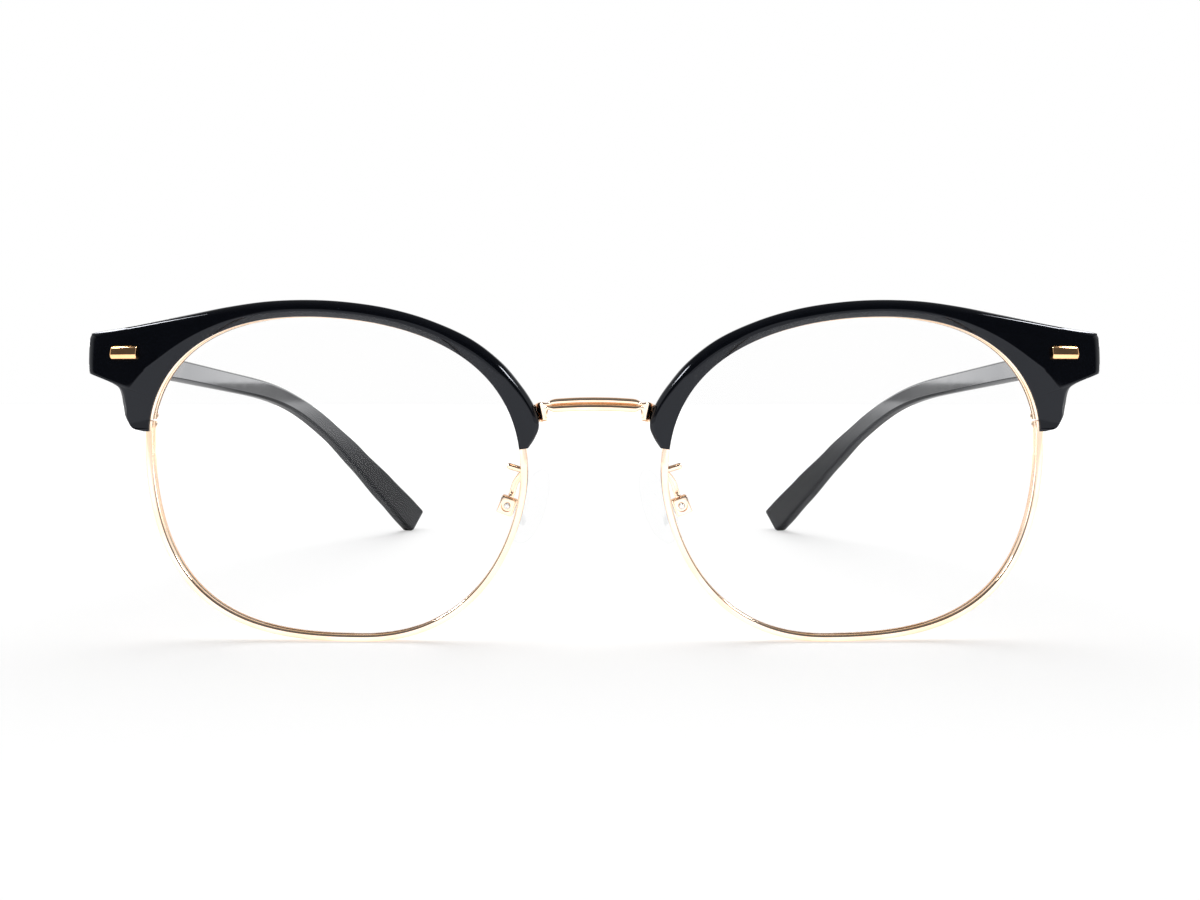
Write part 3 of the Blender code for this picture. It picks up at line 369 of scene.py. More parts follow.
def finishPiece(piece, name, node, finish, angle=35):
    piece.name = name
    shape = bmesh.new()
    shape.from_mesh(piece.data)
    bmesh.ops.remove_doubles(shape, verts=shape.verts, dist=mergeReach)
    for corner in shape.verts:      # the CAD box is the outer limit
        for axis in range(3):
            corner.co[axis] = min(max(corner.co[axis], cadBox[0][axis]), cadBox[1][axis])
    bmesh.ops.recalc_face_normals(shape, faces=shape.faces)
    shape.to_mesh(piece.data)
    shape.free()
    piece.data.name = name
    piece.data.materials.clear()
    piece.data.materials.append(finish)
    pick(piece)
    bpy.ops.object.shade_smooth_by_angle(angle=math.radians(angle))
    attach(piece, frame["nodes"][node]["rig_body"])
    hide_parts(node)
    return piece


def bothSides(piece, node, finish, angle=35):
    # finishes the left piece and its mirror image
    twin = bpy.data.objects.new(piece.name, piece.data.copy())
    bpy.context.scene.collection.objects.link(twin)
    twin.data.transform(Matrix.Diagonal((-1, 1, 1, 1)))
    finishPiece(piece, camelName("left", node), "left_" + node, finish, angle)
    finishPiece(twin, camelName("right", node), "right_" + node, finish, angle)
    return piece, twin


# Finishes

class Wire:
    # a node's output that can be used in sums
    def __init__(self, finish, socket):
        self.finish = finish
        self.socket = socket

    def sums(self, operation, first, second):
        return self.finish.node('ShaderNodeMath', {"operation": operation}, {0: first, 1: second})

    def __add__(self, other):
        return self.sums('ADD', self, other)

    def __radd__(self, other):
        return self.sums('ADD', other, self)

    def __sub__(self, other):
        return self.sums('SUBTRACT', self, other)

    def __rsub__(self, other):
        return self.sums('SUBTRACT', other, self)

    def __mul__(self, other):
        return self.sums('MULTIPLY', self, other)

    def __rmul__(self, other):
        return self.sums('MULTIPLY', other, self)


class Finish:
    def __init__(self, name, owner=None):
        self.owner = owner or bpy.data.materials.new(name)
        self.owner.use_nodes = True
        self.tree = self.owner.node_tree
        self.tree.nodes.clear()

    def node(self, kind, settings=None, sockets=None, out=0):
        made = self.tree.nodes.new(kind)
        for key, value in (settings or {}).items():
            setattr(made, key, value)
        for key, value in (sockets or {}).items():
            if isinstance(value, Wire):
                self.tree.links.new(value.socket, made.inputs[key])
            else:
                made.inputs[key].default_value = value
        return Wire(self, made.outputs[out])

    def noise(self, scale, detail=3, rough=0.5, stretch=(1, 1, 1)):
        place = self.node('ShaderNodeTexCoord', out="Object")
        place = self.node('ShaderNodeMapping', None, {"Vector": place, "Scale": stretch})
        return self.node('ShaderNodeTexNoise', None,
                         {"Vector": place, "Scale": scale, "Detail": detail, "Roughness": rough})

    def span(self, value, low, high, toLow=0, toHigh=1):
        return self.node('ShaderNodeMapRange', {"interpolation_type": 'SMOOTHSTEP'},
                         {0: value, 1: low, 2: high, 3: toLow, 4: toHigh})

    def colour(self, share, low, high):
        return self.node('ShaderNodeMix', {"data_type": 'RGBA'},
                         {0: share, 6: (*low, 1), 7: (*high, 1)}, 2)

    def bump(self, height, strength, distance):
        return self.node('ShaderNodeBump', None,
                         {"Height": height, "Strength": strength, "Distance": distance})

    def rays(self):
        # one where a ray comes from the camera, from gloss, or through glass
        return [self.node('ShaderNodeLightPath', out="Is " + kind + " Ray")
                for kind in ("Camera", "Glossy", "Transmission")]

    def axis(self, vector, number):
        return self.node('ShaderNodeSeparateXYZ', None, {0: vector}, number)

    def surface(self, shader, target='ShaderNodeOutputMaterial'):
        made = self.tree.nodes.new(target)
        self.tree.links.new(shader.socket, made.inputs["Surface"])
        return self.owner


# each noise is a scale, detail and roughness, and each span says where the noise starts and ends to count

plasticLook = {
    "deep": (0.0028, 0.0037, 0.0069), "worn": (0.0036, 0.0046, 0.0080), "index": 1.49,
    "specular": 0.30, "specularTint": (0.86, 0.90, 1.0), "roughLow": 0.04, "roughHigh": 0.07,
    "cloud": (90, 4, 0.55), "smudge": (420, 5, 0.62), "cloudShare": 0.7,
    "roughSpan": (0.35, 0.68), "wornSpan": (0.4, 0.7),
    "waves": (140, 2, 0.4), "waveStrength": 0.25, "waveHeight": 0.00001,
}
goldLook = {
    "pale": (0.97, 0.79, 0.64), "warm": (0.93, 0.71, 0.52), "edge": (0.62, 0.40, 0.24),
    "roughLow": 0.08, "roughHigh": 0.14, "cloud": (160, 4, 0.55), "warmSpan": (0.38, 0.66),
    "grains": (2600, 3, 0.6, (1, 1, 0.25)), "roughSpan": (0.35, 0.65),
    "grainStrength": 0.3, "grainHeight": 0.000003,
}
plateLook = {**goldLook, "pale": (0.99, 0.62, 0.33), "warm": (0.95, 0.54, 0.26)}
steelLook = {
    "pale": (0.80, 0.79, 0.77), "dull": (0.62, 0.61, 0.60), "roughLow": 0.20, "roughHigh": 0.34,
    "grains": (1900, 4, 0.6), "dullSpan": (0.4, 0.7), "roughSpan": (0.35, 0.65),
}
lensLook = {
    "tint": (1.0, 1.0, 1.0), "gloss": 0.015, "index": 1.5,
    "strength": 0.12, "thinFilm": 0.85, "film": (60, 3, 0.5), "filmSpan": (0.3, 0.7),
}
insertLook = {**lensLook, "tint": (0.994, 0.996, 0.996), "gloss": 0.08, "strength": 0.15}
padLook = {
    "tint": (0.994, 0.995, 0.995), "body": (0.90, 0.91, 0.92), "gloss": 0.16, "glossSpread": 0.1,
    "cloud": (300, 3, 0.5), "cloudSpan": (0.3, 0.7), "facing": 0.35, "edgeSpan": (0.25, 1.0),
    "thin": 0.01, "edge": 0.07,
}


def blackPlastic():
    look = plasticLook
    finish = Finish("blackPlastic")
    cloud, smudge, waves = [finish.noise(*look[kind]) for kind in ("cloud", "smudge", "waves")]
    rough = finish.span(cloud * look["cloudShare"] + smudge * (1 - look["cloudShare"]), *look["roughSpan"],
                        look["roughLow"], look["roughHigh"])
    shader = finish.node('ShaderNodeBsdfPrincipled', None, {
        "Base Color": finish.colour(finish.span(smudge, *look["wornSpan"]), look["deep"], look["worn"]),
        "Roughness": rough, "IOR": look["index"], "Specular IOR Level": look["specular"],
        "Specular Tint": (*look["specularTint"], 1),
        "Normal": finish.bump(waves, look["waveStrength"], look["waveHeight"])})
    return finish.surface(shader)


def goldPlate(name, look):
    finish = Finish(name)
    cloud, grains = finish.noise(*look["cloud"]), finish.noise(*look["grains"])
    shader = finish.node('ShaderNodeBsdfPrincipled', None, {
        "Base Color": finish.colour(finish.span(cloud, *look["warmSpan"]), look["pale"], look["warm"]),
        "Metallic": 1.0, "Specular Tint": (*look["edge"], 1),
        "Roughness": finish.span(cloud * 0.5 + grains * 0.5, *look["roughSpan"],
                                 look["roughLow"], look["roughHigh"]),
        "Normal": finish.bump(grains, look["grainStrength"], look["grainHeight"])})
    return finish.surface(shader)


def screwSteel():
    look = steelLook
    finish = Finish("screwSteel")
    grains = finish.noise(*look["grains"])
    shader = finish.node('ShaderNodeBsdfPrincipled', None, {
        "Base Color": finish.colour(finish.span(grains, *look["dullSpan"]), look["pale"], look["dull"]),
        "Metallic": 1.0,
        "Roughness": finish.span(grains, *look["roughSpan"], look["roughLow"], look["roughHigh"])})
    return finish.surface(shader)


def clearFinish(name, look):
    finish = Finish(name)
    clear = finish.node('ShaderNodeBsdfTransparent', None, {"Color": (*look["tint"], 1)})
    gloss = finish.node('ShaderNodeBsdfGlossy', None, {"Color": (1, 1, 1, 1), "Roughness": look["gloss"]})
    facing = finish.node('ShaderNodeFresnel', None, {"IOR": look["index"]})
    film = finish.span(finish.noise(*look["film"]), *look["filmSpan"],
                       look["strength"] * look["thinFilm"], look["strength"])
    return finish.surface(finish.node('ShaderNodeMixShader', None, {0: facing * film, 1: clear, 2: gloss}))


def clearSilicone():
    look = padLook
    finish = Finish("clearSilicone")
    clear = finish.node('ShaderNodeBsdfTransparent', None, {"Color": (*look["tint"], 1)})
    body = finish.node('ShaderNodeBsdfPrincipled', None, {
        "Base Color": (*look["body"], 1),
        "Roughness": finish.span(finish.noise(*look["cloud"]), *look["cloudSpan"],
                                 look["gloss"], look["gloss"] + look["glossSpread"])})
    edge = finish.node('ShaderNodeLayerWeight', None, {"Blend": look["facing"]}, "Facing")
    share = finish.span(edge, *look["edgeSpan"], look["thin"], look["edge"])
    return finish.surface(finish.node('ShaderNodeMixShader', None, {0: share, 1: clear, 2: body}))


plasticFinish = blackPlastic()
goldFinish = goldPlate("goldPlate", goldLook)
plateFinish = goldPlate("rivetGold", plateLook)
steelFinish = screwSteel()
lensFinish = clearFinish("lensGlass", lensLook)
insertFinish = clearFinish("padInsert", insertLook)
padFinish = clearSilicone()
print("finishes made")


# Rims

def rimTurns(stations):
    first = rimPoint(rim["splitTurn"], 0, 0)
    speed = (rimPoint(rim["splitTurn"] + smallTurn, 0, 0) - first).length / smallTurn
    halfGap = rim["splitGap"] / 2 / speed
    return [mix(rim["splitTurn"] + halfGap, rim["splitTurn"] + 4 - halfGap, index / (stations - 1))
            for index in range(stations)]


def rimOutline():
    # the eyewire's section: a rounded front, soft back corners and the lens groove
    width, depth, middle = rim["width"], rim["depth"], rim["depth"] / 2
    outline = []
    for step in range(rim["frontSteps"] + 1):
        angle = math.pi * step / rim["frontSteps"]
        outline.append(((1 - math.cos(angle)) * width / 2,
                        rim["frontRound"] * (1 - math.sin(angle) ** rim["frontPower"])))
    for outX, turnFrom in ((width, 0), (0, 1)):
        for step in range(rim["cornerSteps"] + 1):
            angle = math.pi / 2 * (step / rim["cornerSteps"] + turnFrom)
            centre = width - rim["corner"] if outX else rim["corner"]
            outline.append((centre + rim["corner"] * math.cos(angle),
                            depth - rim["corner"] + rim["corner"] * math.sin(angle)))
    half, reach = rim["grooveHalf"], rim["grooveReach"]
    floor = half * rim["grooveFloor"]
    return outline + [(0, middle + half), (reach, middle + floor), (reach, middle - floor), (0, middle - half)]


def makeRim():
    outline = rimOutline()
    piece = skin([[rimPoint(turn, out, back) for out, back in outline] for turn in rimTurns(rim["stations"])])
    return bothSides(piece, "rim", goldFinish, angle=40)


makeRim()
print("rims made")


# Lenses

lens = {"thickness": 0.0014, "clearance": 0.00008, "stations": 160, "rings": 7, "firstRing": 0.4}


def makeLens():
    middle = rim["depth"] / 2
    front, back = middle - lens["thickness"] / 2, middle + lens["thickness"] / 2
    ridge = rim["grooveHalf"] - lens["clearance"]
    reach = rim["grooveReach"] - lens["clearance"]
    near = -lens["clearance"]
    shares = [(index + lens["firstRing"]) / (lens["rings"] + lens["firstRing"]) for index in range(lens["rings"])]
    profile = [(share, near, front) for share in shares]
    profile += [(1, near, front), (1, near, middle - ridge), (1, reach, middle),
                (1, near, middle + ridge), (1, near, back)]
    profile += [(share, near, back) for share in reversed(shares)]
    edge = [eyeEdge(turn) for turn in rimTurns(lens["stations"])]
    rings = [[ontoFront((point + outwards * out) * share, level) for point, outwards in edge]
             for share, out, level in profile]
    piece = skin(rings, [ontoFront(Vector((0, 0)), level) for level in (front, back)])
    return bothSides(piece, "lens", lensFinish, angle=30)


makeLens()
print("lenses made")


# Closing blocks: two halves on the rim, drawn together by a screw

lock = {"width": 0.0015, "halfHeight": 0.0009, "depth": 0.0017, "reach": 0.00158, "edge": 0.00018}
lockScrew = {"radius": 0.0004, "headRadius": 0.00060, "headHeight": 0.00045,
             "slot": 0.00022, "slotDepth": 0.0002}


def lockPlace():
    place = rimPlace(rim["splitTurn"], lock["reach"], rim["depth"] + eyeShape["seatGap"])
    outwards, upwards, backwards = [place.col[index].to_3d() for index in range(3)]
    if upwards.z < 0:
        upwards = -upwards
    return placeMatrix(place.translation + backwards * lock["depth"] / 2, outwards, backwards, upwards)


def makeClosingBlock():
    place = lockPlace()
    near = rim["splitGap"] / 2
    far = near + lock["halfHeight"]
    for node, low, high in (("rim_lock_upper", near, far), ("rim_lock_lower", -far, -near)):
        half = addBlock((-lock["width"] / 2, -lock["depth"] / 2, low),
                        (lock["width"] / 2, lock["depth"] / 2, high), place, lock["edge"], 4)
        bothSides(half, node, goldFinish)
    top = far + eyeShape["seatGap"]
    screw = addScrew(lockScrew, top + far, place @ Matrix.Translation((0, 0, top)))
    bothSides(screw, "rim_lock_screw", steelFinish)


makeClosingBlock()
print("closing blocks made")


# Brow pieces

brow = {
    "lip": 0.00002, "lipFlare": 0.00030, "flareTurns": (1.15, 2.0), "lipRise": 0.00032, "rise": 0.0015,
    "wallReach": 0.00103, "backReach": 0.00175, "edgeRound": 0.0006, "backRound": 0.0003,
    # shares of the rise at the ridge, shoulder, edge and side, and at the tips below these levels
    "ridgeShare": 0.96, "shoulderShare": 0.92, "edgeShare": 0.56, "sideShare": 0.20,
    "tipShare": 0.16, "tipLevels": (0.16, 0.68), "lipShare": 0.4,
    # where the back widens into the body, and where it turns into the flat seat of the hinge
    "bodyWidths": (0.18, 0.48), "seatAcross": (0.78, 1.07), "seatUp": (0.42, 0.66),
    "seatFrom": 0.4, "seatPace": 1.25, "flatShare": 0.22,
    "ridgeSoft": 0.00014, "lipSoft": 0.00012, "crownSteps": 4, "stationsPerSpan": 10,
    "endSoft": 0.00016, "endAngles": (30, 60, 90),
    # the outer edge from the nose tip over the top to the temple tip: across, up, slope share
    "outline": (
        (-1.0330, 0.1966, 0.70), (-1.0617, 0.2469, 0.80), (-1.0872, 0.3155, 0.76),
        (-1.0852, 0.3887, 0.72), (-1.0578, 0.4710, 0.66), (-0.9951, 0.5853, 0.56),
        (-0.8854, 0.7362, 0.46), (-0.7209, 0.8825, 0.38), (-0.5054, 0.9968, 0.33),
        (-0.2899, 1.0700, 0.31), (-0.0705, 1.1111, 0.30), (0.1410, 1.1271, 0.30),
        (0.3683, 1.1203, 0.30), (0.5877, 1.0883, 0.28), (0.8149, 1.0402, 0.24),
        (1.3747, 0.9700, 0.22), (1.9150, 0.9310, 0.22), (1.9780, 0.9120, 0.225),
        (2.0000, 0.8600, 0.24), (1.9901, 0.6880, 0.34), (1.9305, 0.6620, 0.43),
        (1.6500, 0.6080, 0.58), (1.5236, 0.5624, 0.70), (1.4690, 0.4664, 0.77),
        (1.4342, 0.3887, 0.84), (1.3350, 0.3201, 0.92), (1.1762, 0.2972, 0.94)),
}


def browSection(place):
    # square to the lens opening: sloped lip, crowned front, round outer edge, back and rim step
    turn, width = eyeFoot(Vector((place.x, place.y)))
    lip = min(brow["lip"] + brow["lipFlare"] * rampUp(turn, *brow["flareTurns"]), width * brow["lipShare"])
    spread = width - lip
    low, high = brow["tipLevels"]
    level = min(max((place.y / halfTall - low) / (high - low), 0), 1)
    rise = brow["rise"] * mix(brow["tipShare"], 1, level) * min(1, spread / (2 * brow["wallReach"]))
    edge = min(brow["edgeRound"], spread / 3)
    backRound = min(brow["backRound"], spread / 4)
    ridge = lip + spread * place.z
    shoulder = max(width - edge, ridge + (width - ridge) / 3)
    body = rampUp(width, *[brow["wallReach"] + rim["width"] * share for share in brow["bodyWidths"]])
    wall = mix(min(brow["wallReach"], width - backRound), brow["wallReach"], body)
    back = brow["backReach"] * body
    gap = eyeShape["seatGap"]
    side = brow["sideShare"]
    crown = [Vector((ridge, -rise * brow["ridgeShare"])), Vector(((ridge + shoulder) / 2, -rise)),
             Vector((shoulder, -rise * brow["shoulderShare"])),
             Vector((width - edge / 5, -rise * brow["edgeShare"])), Vector((width, -rise * side))]
    steps = brow["crownSteps"]
    curve = [splinePoint(crown, step / steps) for step in range(1, steps * (len(crown) - 1))]
    corners = [(lip, -brow["lipRise"], brow["lipSoft"], 3), (*crown[0], brow["ridgeSoft"], 5)]
    corners += [(*point, 0, 0) for point in curve]
    corners += [(*crown[4], edge / 4, 2), (width, mix(-rise * side / 2, back, 1 - side), edge / 3, 2),
                (width - backRound, back, backRound, 2),
                (mix(wall, width - backRound, brow["flatShare"]), back, 0, 0),
                (wall + backRound * body / 2, back - gap * (1 - body), 0, 0),
                (wall, mix(-2 * gap, back - backRound / 2, body), 0, 0),
                (wall, -gap - 2 * gap * (1 - body), 0, 0), (lip, -gap, 0, 0)]
    front = rise * side * brow["seatFrom"]
    points = []
    for out, behind in softLoop(corners):
        point = rimPoint(turn, out, behind)
        if body and out > wall - gap and behind > -front:
            seat = rampUp((point.x - eyeX) / halfWide, *brow["seatAcross"])
            seat *= rampUp((point.z - eyeZ) / halfTall, *brow["seatUp"])
            deep = ease((behind + front) / (back + front) * brow["seatPace"])
            point.y = mix(point.y, frontY + seatDepth(), seat * body * deep)
        points.append(point)
    return points


def softEnd(rings):
    # a few more rings draw the last one in a little, so the cut end has a soft edge
    last = rings[-1]
    middle = sum(last, Vector()) / len(last)
    away = (middle - sum(rings[-2], Vector()) / len(last)).normalized() * brow["endSoft"]
    reach = max((point - middle).length for point in last)
    added = []
    for angle in [math.radians(degrees) for degrees in brow["endAngles"]]:
        pull = (1 - math.cos(angle)) * brow["endSoft"] / reach
        added.append([mix(point, middle, pull) + away * math.sin(angle) for point in last])
    return rings + added


def makeBrow():
    outline = []
    for across, up, slope in brow["outline"]:
        x = -min(across, 1) * halfWide - max(across - 1, 0) * eyeShape["endReach"]
        outline.append(Vector((x, up * halfTall, slope)))
    each = brow["stationsPerSpan"]
    rings = [browSection(splinePoint(outline, index / each)) for index in range((len(outline) - 1) * each + 1)]
    rings = softEnd(rings[::-1])[::-1]
    return bothSides(skin(softEnd(rings)), "brow", plasticFinish, angle=30)


makeBrow()
print("brow pieces made")


# Rivet plates on the end pieces

rivetPlate = {
    "length": 0.0041, "height": 0.0018, "thickness": 0.0006, "inset": 0.00588, "lift": 0.00032,
    "ridge": -0.35, "fall": 0.00022,    # the ridge's place from the lower to the upper edge, -1 to 1
    "edgeFall": 0.00016, "edgePower": 9, "endRound": 0.00022, "arcSteps": 24, "endSteps": 5,
}


def rivetPlace():
    x = endX - rivetPlate["inset"]
    step = rivetPlate["height"] / 10
    depth = frontY + frontDepth(x, endZ) - brow["rise"] - eyeShape["seatGap"]
    origin = Vector((x, depth, endZ + rivetPlate["lift"]))
    along = Vector((step, frontDepth(x + step, endZ) - frontDepth(x, endZ), 0)).normalized()
    upwards = Vector((0, 0, 1))
    outwards = along.cross(upwards)
    if outwards.y > 0:
        outwards = -outwards
    return placeMatrix(origin, along, upwards, outwards)


def makeRivetPlate():
    # two shallow facets that meet in a ridge, with rounded edges and ends
    half, tall, thick = rivetPlate["length"] / 2, rivetPlate["height"] / 2, rivetPlate["thickness"]
    place, soft, ridge = rivetPlace(), rivetPlate["endRound"], rivetPlate["ridge"]
    stations = []
    for step in reversed(range(rivetPlate["endSteps"] + 1)):
        angle = math.pi / 2 * step / rivetPlate["endSteps"]
        stations.append((-half + soft * (1 - math.sin(angle)), soft * (1 - math.cos(angle))))
    rings = []
    for x, pull in stations + [(-x, pull) for x, pull in reversed(stations)]:
        ring = [Vector((x, tall - pull, -thick)), Vector((x, -tall + pull, -thick))]
        for step in range(rivetPlate["arcSteps"] + 1):
            share = 2 * step / rivetPlate["arcSteps"] - 1
            away = (share - ridge) / (1 - ridge) if share > ridge else (ridge - share) / (1 + ridge)
            fall = rivetPlate["fall"] * away + rivetPlate["edgeFall"] * away ** rivetPlate["edgePower"]
            ring.append(Vector((x, (tall - pull) * share, thick - fall - pull)))
        rings.append([place @ point for point in ring])
    return bothSides(skin(rings), "rivet_plate", plateFinish, angle=50)


makeRivetPlate()
print("rivet plates made")


# Tabs and screws that hold the brow pieces on the rims

tab = {"width": 0.0018, "thickness": 0.0005, "edge": 0.0001,
       "turns": {"nasal": 0.62, "outer": 1.24}}
tabScrew = {"radius": 0.0004, "headRadius": 0.00062, "headHeight": 0.00035, "slot": 0.00022,
            "slotDepth": 0.0002, "length": 0.0017}


def makeTabs():
    reach = brow["wallReach"] + tabScrew["radius"] * 2
    for where, turn in tab["turns"].items():
        place = rimPlace(turn, 0, rim["depth"] + eyeShape["seatGap"])
        plate = addBlock((rim["corner"], -tab["width"] / 2, 0),
                         (reach + tabScrew["headRadius"], tab["width"] / 2, tab["thickness"]),
                         place, tab["edge"])
        bothSides(plate, "brow_tab_" + where, goldFinish)
        lift = Matrix.Translation((reach, 0, tab["thickness"] + eyeShape["seatGap"]))
        screw = addScrew(tabScrew, tabScrew["length"] + tab["thickness"], place @ lift)
        bothSides(screw, "brow_screw_" + where, steelFinish)


makeTabs()
print("brow tabs and screws made")


# Hinges: three knuckles, two leaves, a screw for a pin and two rivets in the temple

hinge = {
    "knuckle": 0.00105, "outerHeight": 0.00095, "innerHeight": 0.0013, "gap": 0.00008,
    "plateThickness": 0.0006, "plateHeight": 0.0036, "plateIn": 0.0023, "plateOut": 0.0011,
    "inset": 0.0052, "setback": 0.00185, "web": 0.0006, "webInset": 0.00006, "webFoot": 0.0003, "edge": 0.00009,
    "leafLength": 0.0095, "leafLead": 0.0013, "leafThickness": 0.0005, "leafHeight": 0.0026,
    "rivets": {"front": 0.42, "rear": 0.84}, "rivetRadius": 0.00058, "rivetHeight": 0.0002,
    "rivetLength": 0.0009, "rivetRound": 0.85,
}
hingeScrew = {"radius": 0.00045, "headRadius": 0.00075, "headHeight": 0.0004,
              "slot": 0.00022, "slotDepth": 0.0002}
temple = {
    "length": 0.141, "rootHeight": 0.0049, "rootThickness": 0.0033, "waistHeight": 0.0034,
    "waistThickness": 0.0024, "tipHeight": 0.0070, "tipThickness": 0.0028, "edgeRound": 0.0007,
    "endSlant": 0.0016, "endRound": 0.0008, "bendStart": 0.046, "bendLength": 0.063,
    "splay": math.radians(5.5), "tipSplay": math.radians(17.5), "drop": math.radians(30),
    "slantFrom": 0.9, "upperSoft": 0.00026, "lowerSoft": 0.00042, "outerSoft": 0.6, "buttGap": 0.0003,
    "holdUpper": 1.6, "holdLower": 1.3,     # points beside the inner corners keep the inner face flat
    "spans": 34, "stationsPerSpan": 5, "endSteps": 6,
    # share of the length, blend from root to waist, blend from waist to tip
    "sizes": ((0.00, 0.00, 0.00), (0.08, 0.62, 0.00), (0.17, 0.96, 0.00), (0.30, 1.00, 0.00),
              (0.52, 1.00, 0.00), (0.66, 1.00, 0.14), (0.76, 1.00, 0.42), (0.88, 1.00, 0.80),
              (0.97, 1.00, 1.00), (1.00, 1.00, 1.00)),
}


def hingePlace():
    upwards = Vector((0, math.sin(templeSlope), math.cos(templeSlope)))
    outwards = Vector((1, 0, 0))
    origin = Vector((endX - hinge["inset"], frontY + seatDepth() + hinge["setback"], endZ))
    return placeMatrix(origin, outwards, upwards.cross(outwards), upwards)


def templeWays(splay, drop):
    # the ways along the temple, inwards and up, for its turn inwards and its fall
    along = Vector((-math.sin(splay) * math.cos(drop), math.cos(splay) * math.cos(drop), -math.sin(drop)))
    inwards = Vector((-math.cos(splay), -math.sin(splay), 0))
    upwards = inwards.cross(along)
    if upwards.z < 0:
        upwards = -upwards
    return along, inwards, upwards


def templeRoot():
    return Vector((endX - temple["rootThickness"] / 2, frontY + seatDepth() + temple["buttGap"], endZ))


def templeSide(distance):
    # a place on the temple's inner face: X inwards, Y along the temple, Z up
    along, inwards, upwards = templeWays(temple["splay"], templeSlope)
    origin = templeRoot() + along * distance + inwards * (temple["rootThickness"] / 2 + eyeShape["seatGap"])
    return placeMatrix(origin, inwards, along, upwards)


def makeHinge():
    place = hingePlace()
    inner, web, inset = hinge["innerHeight"] / 2, hinge["web"], hinge["webInset"]
    near = inner + hinge["gap"]
    far = near + hinge["outerHeight"]
    seat = Matrix.Translation((place.translation.x, frontY + seatDepth() + eyeShape["seatGap"],
                               place.translation.z))
    leaf = [addBlock((-hinge["plateIn"], 0, -hinge["plateHeight"] / 2),
                     (hinge["plateOut"], hinge["plateThickness"], hinge["plateHeight"] / 2), seat, hinge["edge"])]
    for low, high in ((near, far), (-far, -near)):
        leaf.append(addBlock((-web, -hinge["setback"] + hinge["webFoot"], low + inset),
                             (web, 0, high - inset), place))
        leaf.append(addRound(hinge["knuckle"], low, high, place, hinge["edge"]))
    bothSides(joinPieces(leaf), "hinge_front_leaf", goldFinish)

    side = templeSide(0)
    reach = hinge["inset"] - temple["rootThickness"] - eyeShape["seatGap"] - hinge["leafThickness"] / 2
    leaf = [addBlock((0, hinge["leafLead"], -hinge["leafHeight"] / 2),
                     (hinge["leafThickness"], hinge["leafLead"] + hinge["leafLength"], hinge["leafHeight"] / 2),
                     side, hinge["edge"]),
            addBlock((0, -web, -inner + inset), (reach, web, inner - inset), place),
            addRound(hinge["knuckle"], -inner, inner, place, hinge["edge"])]
    bothSides(joinPieces(leaf), "hinge_temple_leaf", goldFinish)

    screw = addScrew(hingeScrew, 2 * far, place @ Matrix.Translation((0, 0, far + eyeShape["seatGap"])))
    bothSides(screw, "hinge_screw", steelFinish)
    turn = Matrix.Rotation(math.pi / 2, 4, 'Y')
    head = hinge["leafThickness"] + eyeShape["seatGap"]
    for where, share in hinge["rivets"].items():
        spot = templeSide(hinge["leafLead"] + hinge["leafLength"] * share) @ turn
        rivet = addRound(hinge["rivetRadius"], head - hinge["rivetLength"], head + hinge["rivetHeight"], spot,
                         hinge["rivetHeight"] * hinge["rivetRound"], 5)
        bothSides(rivet, "temple_rivet_" + where, steelFinish)


makeHinge()
print("hinges made")


# Temples

def tableValue(table, share, column):
    for before, after in zip(table, table[1:]):
        if share <= after[0]:
            return mix(before[column], after[column], ease((share - before[0]) / (after[0] - before[0])))
    return table[-1][column]


def templeFrame(index):
    way = ease((index * temple["length"] / temple["spans"] - temple["bendStart"]) / temple["bendLength"])
    return templeWays(mix(temple["splay"], temple["tipSplay"], way), mix(templeSlope, temple["drop"], way))


def templeSection(share):
    toWaist, toTip = [tableValue(temple["sizes"], share, column) for column in (1, 2)]
    height, thick = [mix(mix(temple["root" + size], temple["waist" + size], toWaist), temple["tip" + size], toTip) / 2
                     for size in ("Height", "Thickness")]
    soft = min(temple["edgeRound"], thick * temple["outerSoft"])
    upper, lower = temple["upperSoft"], temple["lowerSoft"]
    corners = [(thick, -height + lower, lower / 5, 2), (thick, -height + lower * temple["holdLower"], 0, 0),
               (thick, height - upper * temple["holdUpper"], 0, 0), (thick, height - upper, upper / 3, 3),
               (thick - upper, height, upper / 3, 3), (-thick + soft, height, soft / 2, 2),
               (-thick + soft / 3, height - soft / 3, soft / 2, 2), (-thick, height - soft, soft / 2, 2),
               (-thick, -height + soft, soft / 2, 2), (-thick + soft / 3, -height + soft / 3, soft / 2, 2),
               (-thick + soft, -height, soft / 2, 2), (thick - lower, -height, lower / 3, 3)]
    return softLoop(corners), height


def makeTemple():
    points = [templeRoot()]
    for index in range(temple["spans"]):
        points.append(points[-1] + templeFrame(index)[0] * temple["length"] / temple["spans"])
    rings = []
    for count in range(temple["spans"] * temple["stationsPerSpan"] + 1):
        index = count / temple["stationsPerSpan"]
        share = index / temple["spans"]
        along, inwards, upwards = templeFrame(index)
        section, height = templeSection(share)
        slant = temple["endSlant"] * rampUp(share, temple["slantFrom"], 1.0)
        middle = splinePoint(points, index)
        ring = [middle + inwards * across + upwards * up + along * slant * (up / height)
                for across, up in section]
        if count == 0:
            for point in ring:
                point.y = middle.y
        rings.append(ring)
    last = rings[-1]
    middle = sum(last, Vector()) / len(last)
    for step in range(1, temple["endSteps"] + 1):
        angle = math.pi / 2 * step / temple["endSteps"]
        pull = (1 - math.cos(angle)) * temple["endRound"] / (temple["tipHeight"] / 2)
        rings.append([mix(point, middle, pull) + along * temple["endRound"] * math.sin(angle)
                      for point in last])
    return bothSides(skin(rings), "temple", plasticFinish, angle=30)


makeTemple()
print("temples made")


# Bridge

